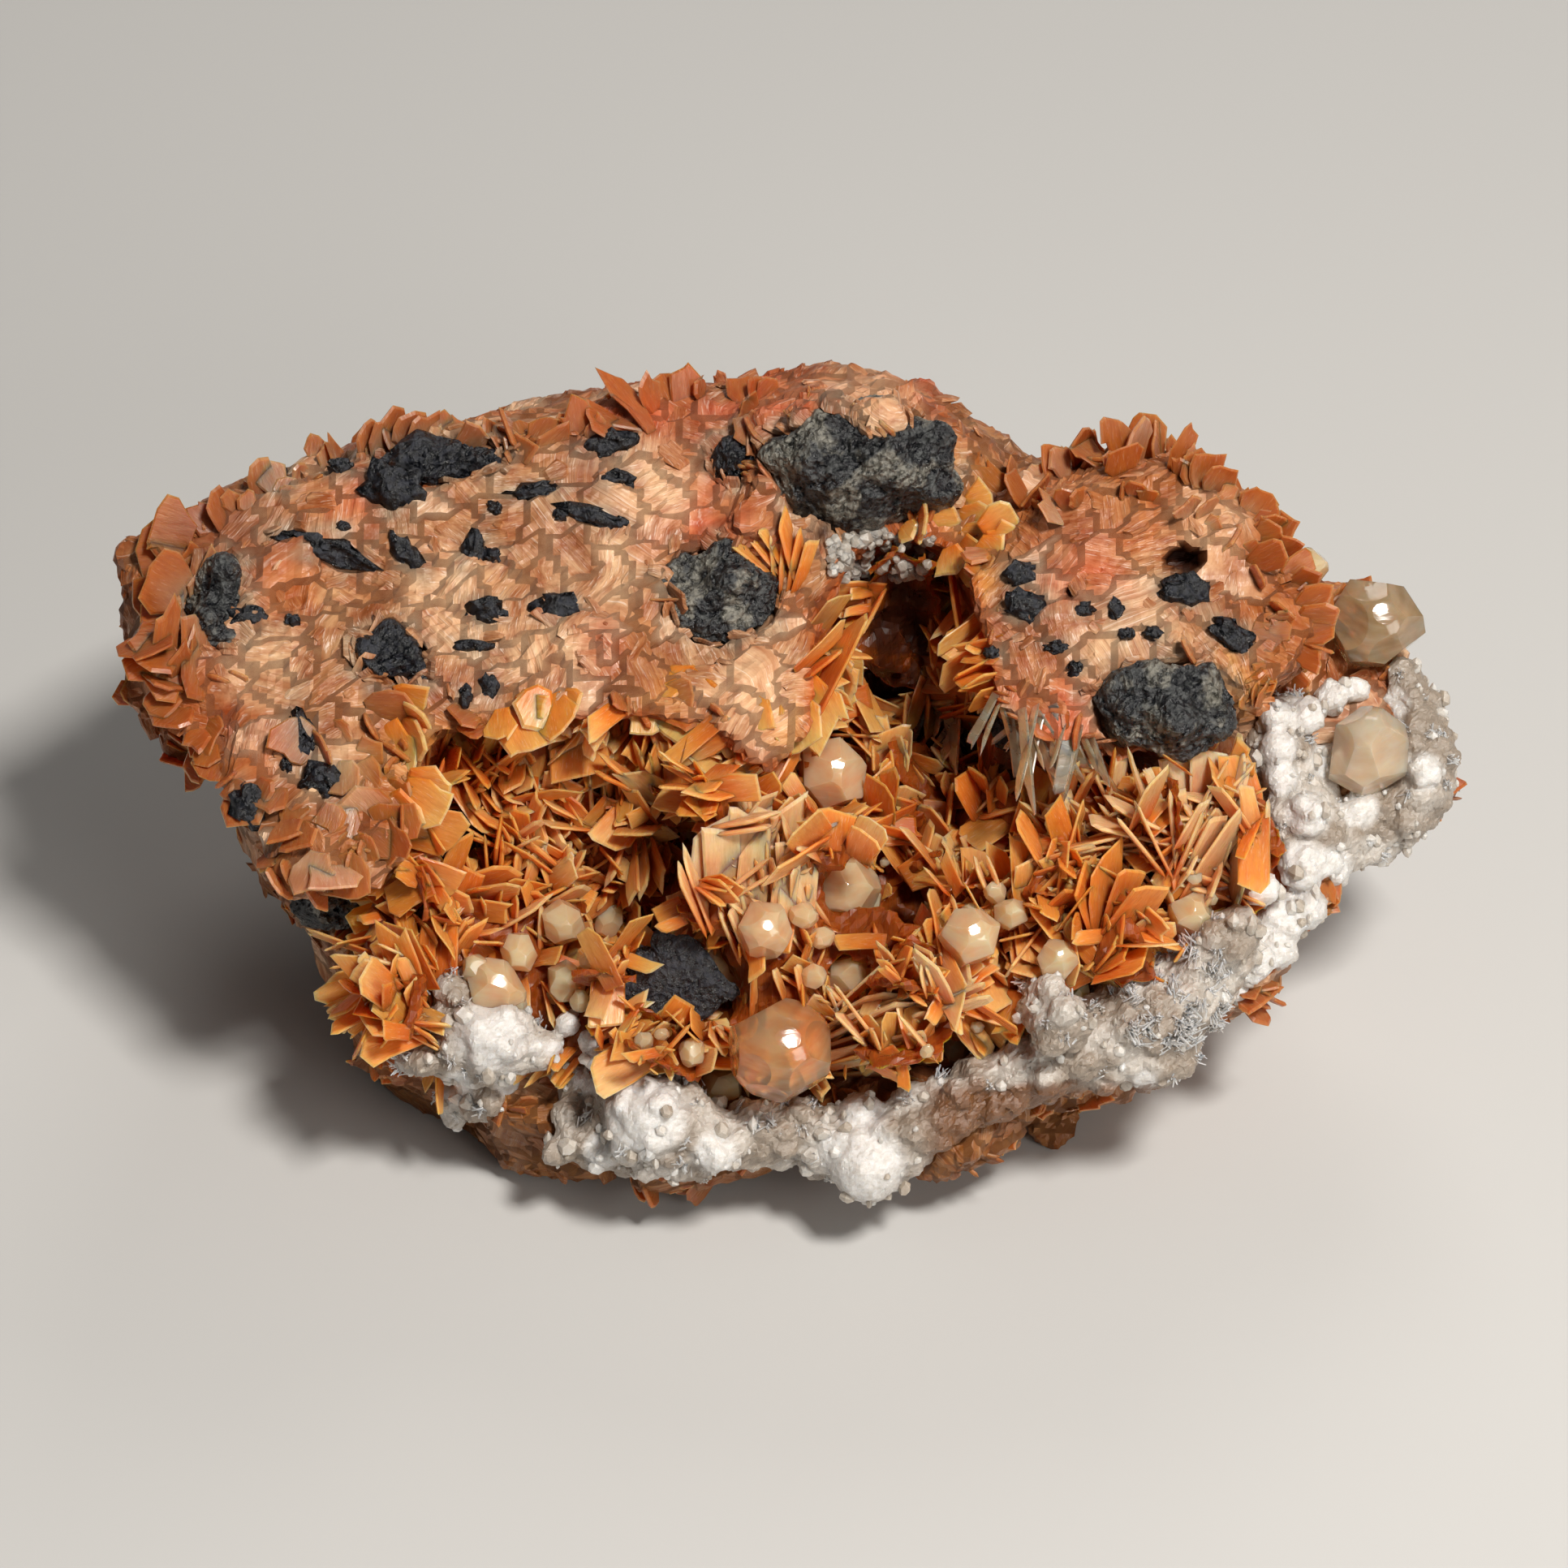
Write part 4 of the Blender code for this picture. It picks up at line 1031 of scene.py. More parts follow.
def outer_spots(skin, count, dice):
    """Random places on the massive barite, and normals, but none in the hollow, the pits or below."""
    spots, normals = skin.scatter(count, dice)
    outside = (in_hollow(spots) > 1.04) & (spots[:, 2] > 1.4) & (normals[:, 2] > -0.7)
    outside &= near_places(spots, [(x, y, 1.3 * wide) for x, y, wide, _, _ in PITS]) == 0
    return spots[outside], normals[outside]


def single_plates(roots, outs, flats, lengths, widths, thicks, dice):
    """Plates that each stand alone. Widths are the least and most as shares of the length, thicks in mm."""
    count = len(roots)
    return Blades(
        roots, outs, flats, lengths, lengths * dice.uniform(*widths, count),
        dice.uniform(*thicks, count), dice.random(count), dice.normal(0, 0.05, count),
    )


def flush_plates(skin, dice):
    """Plates that lie nearly flat in the massive barite."""
    spots, normals = outer_spots(skin, FLUSH_PLATES, dice)
    lean = square_to(drifts(spots, 6.0, 40) * 2.0 + random_units(len(spots), dice) * 0.6, normals)
    tilt = dice.uniform(0.03, 0.20, len(spots))
    outs = unit(lean * np.cos(tilt)[:, None] + normals * np.sin(tilt)[:, None])
    lengths = dice.uniform(0.8, 2.5, len(spots))
    proud = lengths * np.sin(tilt)
    roots = spots - outs * (lengths * 0.5)[:, None] - normals * (0.38 * proud + 0.02)[:, None]
    return single_plates(roots, outs, square_to(normals, outs), lengths, (0.25, 0.8), (0.18, 0.4), dice)


def edge_plates(skin, dice):
    """Books of plates that stand out along the massive barite's edges."""
    spots, normals = outer_spots(skin, EDGE_SPOTS, dice)
    turn = convexity(spots, normals, skin.verts)
    edge = turn + dice.normal(0, 0.02, len(spots)) > 0.16
    spots, normals = spots[edge], normals[edge]
    return fans(
        spots - normals * 0.8, normals, dice, (1.2, 2.5), (1, 4), opening=0.16, spacing=0.45,
        widths=(0.7, 1.5), thicks=(0.15, 0.38), loose=0.8,
    )


def margin_plates(body_skin, lumps, dice):
    """Bits of barite that reach over the galena's edges."""
    places = []
    for lump in lumps:
        skin = Skin(lump)
        middle = skin.verts.mean(axis=0)
        kept = 0
        for spot in skin.scatter(MARGIN_TRIES, dice)[0]:
            found, normal, _, far = body_skin.tree.find_nearest(Vector(spot))
            if kept == MARGIN_BITS or far > 0.35 or found[2] < 1.0:
                continue
            normal = np.array(normal)
            inward = unit(square_to(middle - spot, normal) + dice.normal(0, 0.5, 3))
            tilt = dice.uniform(0.05, 0.45)
            out = unit(inward * math.cos(tilt) + normal * math.sin(tilt))
            places.append((np.array(found) - out * 0.9 + normal * 0.05, out, square_to(normal, out)))
            kept += 1
    roots, outs, flats = (np.array(values) for values in zip(*places))
    lengths = dice.uniform(1.2, 2.4, len(roots))
    return single_plates(roots, outs, flats, lengths, (0.5, 1.0), (0.2, 0.5), dice)


def plates_piece(name, blades, shape, ragged, material, dice):
    """Plates of the massive barite as one piece."""
    blades = within_box(blades)
    piece, which, share, rim, grain = blade_mesh(name, blades, shape, dice, ragged, dish=0.4)
    verts, _ = vertex_data(piece)
    colour = barite_colour(verts, blades.tones[which]) * PLATE_SHADE
    colour = blend(colour, AMBER, PLATE_AMBER * smooth_step(share, 0.2, 0.8))
    # Painted highlight: the bevel ring a little paler, as light coming through the edge
    painted(piece, blend(colour, CREAM, rim * 0.25 * (share > 0.3)), grain)
    dress(piece, material, "barite_body")


def outer_plates(skin, lumps, dice):
    """Most of what is thin and grows out of the massive barite's outer faces."""
    for name, blades, shape, ragged, material in (
        ("flush_plates", flush_plates(skin, dice), BLADE_OUTLINE, 0.08, MATRIX),
        ("edge_plates", edge_plates(skin, dice), BLADE_OUTLINE, 0.08, BLADES),
        ("margin_plates", margin_plates(skin, lumps, dice), BLADE_OUTLINE, 0.10, MATRIX),
        ("petals", placed_fans(PETALS, skin, dice, (0.18, 0.4), wild=14), ROUND_OUTLINE, 0.09, BLADES),
    ):
        plates_piece(name, blades, shape, ragged, material, dice)


def rim_petals(skin, dice):
    """Smaller petals along the upper outline."""
    blades = placed_fans(RIM_PETALS, skin, dice, (0.16, 0.34), wild=14)
    plates_piece("rim_petals", blades, ROUND_OUTLINE, 0.10, BLADES, dice)


def ochre_petals(skin, dice):
    """Yellow petals under the slab and on the lobe."""
    blades = joined_blades([
        placed_fans(OCHRE_PETALS, skin, dice, (0.22, 0.4), wild=10),
        placed_fans(TIP_FRINGE, skin, dice, (0.2, 0.35), wild=4, sink=FRINGE_SINK),
    ])
    piece, which, share, rim, grain = blade_mesh("ochre_petals", blades, ROUND_OUTLINE, dice, ragged=0.08)
    tone = blades.tones[which]
    colour = blend(blend(ORANGE, OCHRE, share * 1.3), PALE_OCHRE, tone * smooth_step(share, 0.3, 0.9))
    # Painted highlight: the bevel ring paler, as light coming through the edge
    painted(piece, blend(colour, OCHRE_RIM, rim * 0.45 * (share > 0.4)), grain)
    dress(piece, BLADES, "barite_body")


# The hollow

CLUSTERS = 820
UNDERGROWTH = 850
# How much of its colour the lining keeps: painted shade in the gaps between the blades
LINING_SHADE = 0.5

# Blades at chosen places in the hollow, with the same values as the petals
SPRAYS = [
    (3.6, -17.0, 26, 40, 9.8, 0.28, 64, 5, 6, 0.7, 2.2),
    (3.8, -15.4, 36, 40, 8.0, 0.28, 64, 4, 7, 0.7, 2.2),
    (3.6, -18.6, 12, 40, 9.0, 0.28, 66, 4, 6, 0.7, 1.4),
    (8.6, -8.8, -58, 44, 10.0, 0.26, 60, 5, 5, 0.8, 2.3),
    (10.0, -9.4, -48, 44, 8.5, 0.28, 60, 4, 7, 0.8, 2.1),
    (6.2, -10.6, -75, 44, 6.5, 0.28, 60, 3, 7, 0.8, 1.5),
    (11.0, -11.5, -50, 35, 7.0, 0.45, 30, 3, 10, 0.8, 0.9),
    (6.0, -15.0, 0, 38, 5.5, 0.33, 75, 4, 12, 0.6, 1.3),
    (5.0, -19.0, 80, 35, 4.5, 0.6, 35, 3, 25, 0.8, 0.2),
    (9.5, -18.5, 100, 35, 5.0, 0.6, 40, 3, 22, 0.8, 0.3),
    (20.0, -4.5, 15, 38, 7.5, 0.35, 70, 4, 7, 0.6, 1.7),
    (24.0, -0.5, -70, 38, 7.5, 0.30, 65, 3, 8, 0.7, 1.8),
    (27.0, -6.0, 75, 40, 7.0, 0.35, 60, 4, 9, 0.7, 1.5),
    (31.0, -5.5, 120, 40, 6.0, 0.22, 66, 5, 10, 0.7, 1.6),
    (29.5, -2.0, 190, 38, 6.0, 0.35, 72, 4, 9, 0.6, 1.8),
    (22.0, -8.5, 85, 42, 5.5, 0.6, 45, 4, 16, 0.8, 0.4),
    (17.5, -3.0, 60, 30, 4.5, 0.8, 25, 2, 20, 1.0, 0.2),
    (14.0, -2.0, 110, 30, 4.0, 0.7, 30, 2, 20, 1.0, 0.1),
    (-10.5, -20.0, 35, 30, 6.5, 0.45, 60, 4, 12, 0.5, 0.1),
    (-8.5, -19.5, 75, 30, 5.0, 0.6, 40, 3, 18, 0.5, 0.1),
    (-7.9, -18.4, 58, 20, 5.8, 0.62, 15, 1, 0, 0.0, 0.0),
    (-4.4, -10.8, 93, 22, 10.0, 0.26, 20, 3, 3, 0.8, 2.0),
    (-2.6, -8.0, 86, 26, 7.5, 0.34, 35, 3, 7, 0.8, 1.8),
    (-0.5, -6.0, 75, 30, 6.0, 0.45, 40, 3, 12, 0.8, 1.6),
    (2.0, -5.5, 100, 35, 5.0, 0.28, 60, 3, 15, 0.7, 1.1),
    (0.6, -13.5, 92, 25, 6.5, 0.35, 30, 3, 6, 0.9, 1.2),
    (-2.4, -14.5, 95, 22, 6.0, 0.35, 30, 3, 6, 0.9, 1.0),
    (-4.8, -12.0, 95, 20, 8.0, 0.30, 20, 4, 3, 0.9, 2.0),
    (-3.6, -8.5, 88, 20, 8.0, 0.32, 22, 4, 3, 0.9, 2.0),
    (-2.0, -6.5, 84, 24, 7.0, 0.34, 25, 4, 4, 0.9, 1.9),
    (-0.6, -9.5, 90, 20, 7.0, 0.32, 25, 4, 3, 0.9, 1.8), (1.0, -7.5, 96, 24, 6.0, 0.34, 25, 3, 4, 0.9, 1.6),
    (-4.2, -6.0, 100, 24, 6.0, 0.34, 20, 3, 4, 0.9, 2.0), (3.2, -4.0, 80, 10, 3.0, 1.1, 15, 1, 0, 0.0, 0.0),
    (-17.5, -1.5, -80, 25, 5.5, 0.4, 50, 4, 10, 0.7, 0.7),
    (-14.5, -2.0, -95, 25, 5.0, 0.4, 55, 3, 12, 0.7, 0.7),
    (-10.0, -4.0, -85, 30, 5.0, 0.35, 60, 4, 10, 0.6, 0.8),
    (-12.0, -2.5, 20, 30, 5.5, 0.5, 35, 3, 14, 0.8, 0.8),
    (-21.5, -8.0, 0, 30, 5.0, 0.45, 55, 4, 12, 0.7, 0.7),
    (-24.5, -8.5, -20, 35, 4.5, 0.6, 45, 3, 18, 0.8, 0.5),
    (-26.0, -12.5, -60, 30, 4.5, 0.5, 50, 4, 15, 0.7, 0.6),
    (-25.5, -15.5, 170, 30, 4.0, 0.6, 40, 4, 18, 0.7, 0.6),
    (-20.0, -12.0, -100, 35, 4.5, 0.6, 40, 3, 18, 0.8, 0.5),
    (-16.0, -9.0, 50, 35, 5.0, 0.4, 60, 4, 11, 0.6, 0.7),
    (-10.0, -8.5, 130, 35, 5.0, 0.4, 60, 4, 11, 0.6, 0.7),
    (-8.0, -12.0, 60, 35, 4.5, 0.4, 60, 3, 14, 0.6, 0.6),
    (-6.0, 1.0, -60, 20, 4.5, 0.9, 20, 3, 22, 0.9, 0.3),
    (-12.5, 3.5, -75, 15, 5.0, 0.9, 15, 3, 18, 1.0, 0.2),
    (-9.5, 3.2, -100, 15, 4.5, 0.9, 15, 3, 20, 1.0, 0.2),
    (-17.0, 3.2, -80, 15, 4.5, 0.9, 20, 3, 22, 1.0, 0.3), (0.5, 13.5, 80, 15, 5.0, 0.3, 60, 5, 9, 0.5, 0.5),
    (0.0, 14.5, 125, 20, 4.5, 0.35, 55, 4, 12, 0.5, 0.4),
    (5.5, 6.0, -20, 20, 5.0, 0.4, 55, 4, 10, 0.7, 0.7), (4.0, 9.0, -60, 20, 5.0, 0.4, 50, 3, 10, 0.7, 0.7),
    (12.5, 11.0, 250, 15, 4.0, 0.4, 50, 4, 10, 0.7, 0.9),
    (28.5, -0.8, 95, 28, 4.8, 0.7, 20, 3, 12, 1.0, 3.0),
    (17.0, -8.0, 60, 35, 5.0, 0.5, 50, 4, 14, 0.7, 0.5),
    (14.5, -15.0, 110, 35, 4.5, 0.5, 45, 4, 14, 0.7, 0.4),
    (-3.0, -10.0, 250, 30, 5.0, 0.4, 55, 4, 12, 0.7, 0.6),
]

# Crossing blades: right, up, how far they spread, how many, length, tone
BURSTS = [
    (26.6, -5.4, 2.5, 34, 6.8, 2.0), (29.0, -3.6, 1.6, 12, 5.5, 1.7), (8.6, -15.6, 2.2, 12, 4.6, 1.8),
    (11.5, -16.8, 1.6, 10, 4.2, 1.0), (4.5, -12.0, 1.2, 8, 3.6, 1.2), (20.0, -5.0, 2.0, 12, 5.5, 0.9),
    (-17.0, -5.5, 3.2, 18, 4.8, 0.8), (-23.5, -10.0, 2.4, 16, 4.6, 0.8), (-12.0, -8.0, 2.6, 12, 4.8, 0.9),
    (-1.0, -6.5, 1.7, 22, 5.0, 1.6), (1.5, -10.5, 1.4, 8, 4.5, 1.2), (-3.4, -9.5, 1.0, 10, 5.5, 1.7),
    (9.5, -11.5, 1.6, 12, 3.8, 0.9), (2.2, -14.0, 1.2, 10, 4.0, 1.0), (14.0, -4.0, 1.6, 8, 4.5, 0.7),
    (-11.5, -1.0, 2.4, 12, 4.8, 0.7), (-9.5, -19.5, 1.4, 8, 4.6, 0.4), (14.5, -10.0, 1.8, 12, 4.0, 0.8),
    (4.0, -15.0, 1.2, 8, 4.0, 0.6), (7.8, -9.2, 1.0, 10, 3.6, 0.6), (22.5, -3.6, 1.6, 12, 5.8, 1.5),
    (-3.0, -4.5, 1.0, 10, 5.0, 1.8),
]

# Clear grey blades below the lobe, with the same values as the petals
CLEAR_BLADES = [
    (10.8, 5.6, -95, 12, 7.5, 0.16, 45, 6, 6, 0.5, 0.5),
    (12.8, 5.4, -90, 12, 8.0, 0.14, 50, 6, 6, 0.5, 0.5),
    (15.0, 4.8, -86, 12, 7.0, 0.16, 45, 6, 8, 0.5, 0.5),
    (17.4, 3.8, -80, 12, 6.5, 0.16, 50, 6, 8, 0.5, 0.5),
    (19.6, 3.0, -74, 12, 5.0, 0.18, 45, 5, 9, 0.5, 0.5),
    (11.8, 4.6, -70, 25, 5.0, 0.18, 55, 4, 12, 0.5, 0.5),
    (16.2, 3.6, -110, 25, 4.5, 0.18, 55, 4, 12, 0.5, 0.5),
]

# Where the chosen sprays stay free of others: right, up, away, radius
SPRAY_DISCS = [
    (7.8, -14.0, 30, 3.2), (26.0, -3.5, 30, 4.2), (-2.5, -4.0, 30, 2.6), (-3.4, -8.0, 30, 2.4),
    (12.0, 1.6, 30, 2.6), (16.5, 0.8, 30, 2.6),
]

# Crust that no blade of the hollow may cover, the same way
CRUST_DISCS = [
    (5.5, -22.5, 30, 2.6), (11.5, -21.3, 30, 2.2), (0.0, -23.0, 30, 2.2), (18.0, -19.5, 30, 2.4),
    (24.0, -16.0, 30, 2.8), (30.0, -13.0, 30, 2.2), (-9.2, -22.4, 30, 2.2), (-19.6, -16.9, 30, 2.0),
    (34.5, -7.0, 30, 2.2), (33.4, 2.4, 30, 2.0), (34.4, -2.0, 30, 2.0),
]

# Deep places that no blade may cover, the same way
DARK_DISCS = [
    (7.6, 9.6, 20, 1.7), (7.0, 7.2, 20, 1.5), (8.2, 11.8, 20, 1.0), (7.6, -8.8, 20, 1.5),
    (12.6, 13.4, 20, 1.0), (4.6, 15.4, 30, 1.5), (7.0, 15.6, 30, 1.7), (9.2, 15.2, 30, 1.3),
]


def cavity_colour(points, share, tone, rim):
    """Colour of a blade in the hollow: deep orange at its root and pale at its tip, the dark root partly its
    own colour and partly painted shade between the blades, with painted shade further back.
    """
    colour = blend(ROOT, ORANGE, (share - 0.15) / 0.4)
    peachy = smooth_step(share, 0.42, 0.85) * (0.25 + 0.85 * np.clip(tone, 0, 1))
    colour = blend(colour, BLADE_PEACH, peachy)
    colour = blend(colour, PINK_TIP, np.clip(tone - 1, 0, 1) * smooth_step(share, 0.1, 0.5))
    colour = blend(colour, CREAM_TIP, np.clip(tone - 2, 0, 1) * smooth_step(share, 0.1, 0.5))
    tone = np.clip(tone, 0, 1)
    pale = blend(TIP, PINK_TIP, tone)
    colour = blend(colour, pale, smooth_step(share, 0.62, 1.1) * tone * 0.9)
    # Painted highlight: the bevel ring paler, as light coming through the thin edge
    colour = blend(colour, pale, rim * 0.85 * smooth_step(share, 0.20, 0.65) * (0.45 + 0.55 * tone))
    colour = colour * (0.88 + 0.16 * tone)[:, None]
    # Painted shade: darker further back in the hollow, down to a tenth of the colour 13 mm back
    _, _, away = view_of(points)
    return colour * (1 - 0.90 * smooth_step(away, 0.0, 13.0))[:, None]


def undergrowth(skin, dice):
    """Short blades that fill the ground between the sprays."""
    spots, normals = skin.scatter(UNDERGROWTH, dice)
    return fans(
        spots + normals * 0.2, normals, dice, (1.8, 3.6), (1, 4), opening=0.30, spacing=0.35,
        widths=(0.3, 0.9), thicks=(0.12, 0.24),
    )


def burst_rows(dice):
    """Rows for single blades and pairs that cross each other at the BURSTS."""
    rows = []
    for right, up, spread, count, length, tone in BURSTS:
        for _ in range(count):
            x, y = dice.normal(0, spread, 2)
            side = dice.choice((-1, 1))
            rows.append((
                right + x, up + y, dice.uniform(10, 170), dice.uniform(15, 55),
                length * dice.uniform(0.7, 1.1), dice.uniform(0.18, 0.42), side * dice.uniform(55, 90),
                dice.integers(1, 3), 5, 0.6, tone + dice.normal(0, 0.3),
            ))
    return rows


def random_sprays(skin, lining_skin, dice):
    """Sprays all over the hollow's wall and its lining."""
    spots, normals = skin.scatter(CLUSTERS * 4, dice)
    inside = np.flatnonzero(in_hollow(spots) < 1.03)[:CLUSTERS * 2 // 3]
    more_spots, more_normals = lining_skin.scatter(CLUSTERS // 3, dice)
    return fans(
        np.concatenate((spots[inside], more_spots)), np.concatenate((normals[inside], more_normals)), dice,
        (3.0, 6.6), (2, 6), opening=0.11, spacing=0.70, widths=(0.20, 0.58), thicks=(0.13, 0.26),
        toward=0.25, loose=0.6, wild=0.30,
    )


def cavity_blades(skin, lining_skin, discs, dice):
    """Thin blades that line the hollow and hide none of the discs."""
    strewn = out_of_sight_of(random_sprays(skin, lining_skin, dice), SPRAY_DISCS)
    chosen = placed_fans(SPRAYS + burst_rows(dice), skin, dice, (0.18, 0.34))
    blades = joined_blades([chosen, strewn, undergrowth(lining_skin, dice)])
    blades = within_box(out_of_sight_of(blades, discs + CRUST_DISCS + DARK_DISCS))
    for number, part in enumerate(blades.halves(), 1):
        name = f"cavity_blades_{number}"
        piece, which, share, rim, grain = blade_mesh(name, part, LATH_OUTLINE, dice, dish=0.0, skew=0.3)
        verts, _ = vertex_data(piece)
        tone = part.tones[which]
        tone = np.where(tone > 1, tone, np.clip(tone + 0.8 * ripples(verts, 5.0, 35), 0, 1))
        painted(piece, cavity_colour(verts, share, tone, rim), grain)
        dress(piece, BLADES, "barite_blades")


def clear_blades(skin, dice):
    """The clear blades below the lobe."""
    blades = placed_fans(CLEAR_BLADES, skin, dice, (0.12, 0.26), wild=14)
    dress(blade_mesh("clear_blades", blades, LATH_OUTLINE, dice, dish=0.0)[0], CLEAR, "barite_blades")


def cavity_lining(dice):
    """What the blades grow from."""
    piece = new_object("cavity_lining", NODES["barite_blades"].data.copy())
    one_skin(piece, MATRIX_VOXEL)
    verts, normals = vertex_data(piece)
    jagged = 0.40 * ripples(verts, 1.3, 31) + 0.35 * np.abs(rough_ripples(verts, 0.8, 2, 32))
    verts = above_floor(verts + normals * (jagged - 0.35)[:, None], LOWEST)
    reshape(piece, verts)
    tone = dice.random(len(verts))
    share = 0.22 + 0.25 * ripples(verts, 1.2, 33)
    # Painted shade: the lining darkened to read as gaps between the blades, and nearly black in the deepest
    # places
    colour = cavity_colour(verts, share, 0.4 + 0.2 * tone, tone * 0) * LINING_SHADE
    painted(piece, deep_shade(verts, colour), verts * (2, 1, 1))
    return dress(piece, BLADES, "barite_blades", "barite_blades")


# Galena

GALENA_VOXEL = 0.25
DARK_LUMPS = ("galena_hollow", "galena_ledge", "galena_slab", "galena_knob", "galena_shoulder")
# Below this place in the view the top lump sinks into the crevice
CREVICE_TOP = 19.6

# Small galena grains in the massive barite: right, up, half width, half height, turn in degrees
SPECKS = [
    (-34.2, 20.2, 1.2, 0.9, 20), (-29.8, 21.2, 0.8, 0.5, 0), (-26.0, 19.6, 2.0, 1.7, -25),
    (-22.2, 20.8, 2.3, 1.4, 5), (-16.6, 19.6, 1.7, 0.6, 5), (-11.2, 20.4, 1.1, 0.6, 0),
    (-12.0, 22.6, 1.9, 1.0, 10), (-19.4, 18.5, 0.5, 0.45, 0), (-12.7, 18.0, 2.2, 0.6, -15),
    (-15.0, 18.1, 0.5, 0.4, 0), (-30.8, 15.8, 3.4, 0.9, -18), (-29.6, 17.3, 0.5, 0.3, 0),
    (-25.4, 15.5, 1.5, 0.7, -50), (-20.8, 15.5, 0.8, 1.2, -15), (-19.4, 15.3, 0.6, 0.5, 0),
    (-33.0, 10.9, 0.5, 0.4, 0), (-20.0, 11.6, 1.3, 0.9, -10), (-15.4, 11.9, 1.5, 0.9, 5),
    (-20.8, 9.2, 1.2, 0.4, 5), (-36.0, 11.0, 1.2, 0.9, 0), (-32.4, 3.0, 0.9, 1.7, 10),
    (-33.4, 1.2, 0.4, 0.5, 0), (-31.0, 0.3, 1.2, 1.2, 0), (-36.0, -1.5, 1.0, 1.4, 15),
    (-21.4, 5.9, 0.4, 0.7, 0), (-19.8, 6.5, 0.6, 0.9, 20), (26.8, 12.9, 1.5, 1.1, 0),
    (15.8, 14.1, 1.0, 0.8, 10), (16.3, 11.9, 1.5, 1.0, -15), (20.2, 11.6, 0.6, 0.5, 0),
    (22.3, 11.6, 0.5, 0.8, 0), (23.0, 10.1, 0.5, 0.4, 0), (24.8, 10.1, 0.6, 0.5, 0),
    (30.1, 10.0, 1.5, 0.9, -35), (18.3, 9.2, 0.8, 0.4, 0), (19.6, 7.7, 0.5, 0.5, 0),
    (12.2, 9.3, 1.3, 0.8, 50), (12.9, 7.0, 0.7, 1.2, 0), (14.6, 3.8, 0.7, 1.3, 15),
    (14.0, 8.8, 0.5, 0.5, 0),
]


def galena_lump(node_name):
    """One lump of galena with a granular, pitted surface."""
    piece = new_object(node_name.replace("galena_", "lump_"), NODES[node_name].data.copy())
    one_skin(piece, GALENA_VOXEL)
    verts, normals = vertex_data(piece)
    height = 1.10 * ripples(verts, 2.6, 51) + 0.30 * rough_ripples(verts, 1.1, 3, 52)
    pits = np.clip(np.abs(ripples(verts, 0.8, 54)) / 0.12, 0, 1) - 1
    verts = verts + normals * (height + 0.25 * pits - 0.05)[:, None]
    _, up, away = view_of(verts)
    if node_name == "galena_top":
        sunk = 0.8 * np.clip(CREVICE_TOP + 0.8 * ripples(verts, 1.5, 57) - up, 0, 4)
        verts = verts + AWAY * sunk[:, None]
    if node_name == "galena_hollow":
        verts = verts + AWAY * (0.75 * np.clip(away.mean() - away, -1, 4))[:, None]
        aside, above = (1.6 * ripples(verts, 2.4, seed)[:, None] for seed in (58, 59))
        verts = verts + RIGHT * aside + UP * above
    reshape(piece, above_floor(verts, LOWEST))
    return dress(piece, DARK_GALENA if node_name in DARK_LUMPS else GALENA, "galena", node_name)


def galena_specks(skin):
    """Small galena grains at the SPECKS."""
    ball, faces = ball_form(3)
    grains = []
    for right, up, wide, high, turn in SPECKS:
        spot, normal = skin.front(right, up)
        angle = math.radians(turn)
        across = RIGHT * math.cos(angle) + UP * math.sin(angle)
        above = UP * math.cos(angle) - RIGHT * math.sin(angle)
        out = unit(normal - AWAY)
        u, v, w = (ball + 0.62 * drifts(ball, 0.55, right)).T[..., None]
        deep = 0.5 * min(wide, high) + 0.25
        grains.append(spot + u * across * wide + v * above * high + w * out * deep)
    sizes = np.full(len(faces), 3)
    piece = repeated_piece("galena_specks", np.concatenate(grains), len(grains), sizes, faces.ravel())
    points, normals = vertex_data(piece)
    reshape(piece, points + normals * (0.14 * ripples(points, 0.5, 55))[:, None])
    dress(piece, DARK_GALENA, "galena")


# Cerussite crystals

SHARP = math.radians(14)
CRYSTAL_BEVEL = 0.035
CRYSTAL_COUNT = 15
# Crystals with a face that shines in the light
BRIGHT_CRYSTALS = (1, 2, 3, 5, 8, 11, 14)
# Crystals that aren't pale honey, and those whose size differs: the radius as a share of the solid's
CRYSTAL_KINDS = {1: HONEY, 14: GREENISH, 15: WHITISH}
CRYSTAL_SHARES = {1: 1.12, 15: 1.08}
CRYSTAL_SHARE = 1.20
# How far a small crystal's middle is in front of the surface
CRYSTAL_RISE = 1.3

# Crystals too small to be solids of their own: right, up, radius
SMALL_CRYSTALS = [
    (1.2, -8.8, 0.95), (1.9, -12.8, 0.9), (2.5, -10.4, 0.8), (-18.0, -14.6, 0.9), (-15.4, -9.2, 0.8),
    (-11.8, -9.2, 1.2), (-6.2, -17.9, 1.0), (-9.4, -17.4, 0.65), (-6.3, -20.6, 0.85), (-4.4, -20.3, 1.6),
    (15.2, -8.9, 1.2), (27.4, -6.2, 0.55), (28.6, -7.6, 0.5), (11.4, -17.7, 1.1), (35.6, 15.0, 1.4),
    (-13.6, -14.6, 0.75), (5.4, -8.0, 1.1), (14.2, -7.2, 0.8), (12.6, -8.9, 0.9), (-20.6, -12.4, 1.1),
    (6.8, -5.2, 0.4), (-8.2, -16.6, 0.5), (9.6, -18.0, 0.5), (19.8, -14.0, 0.8), (-13.0, -11.8, 0.6),
    (25.6, -12.2, 0.6), (17.0, -15.6, 0.8), (12.8, -16.2, 0.5), (2.6, 1.8, 1.3), (4.8, 1.0, 0.9),
]

# Grey grains: how many, and where to the right and up
GREY_GRAINS = 110
GRAIN_ZONE = ((3.0, 10.0), (13.8, 17.0))
GRAIN_ROUNDNESS = -0.20


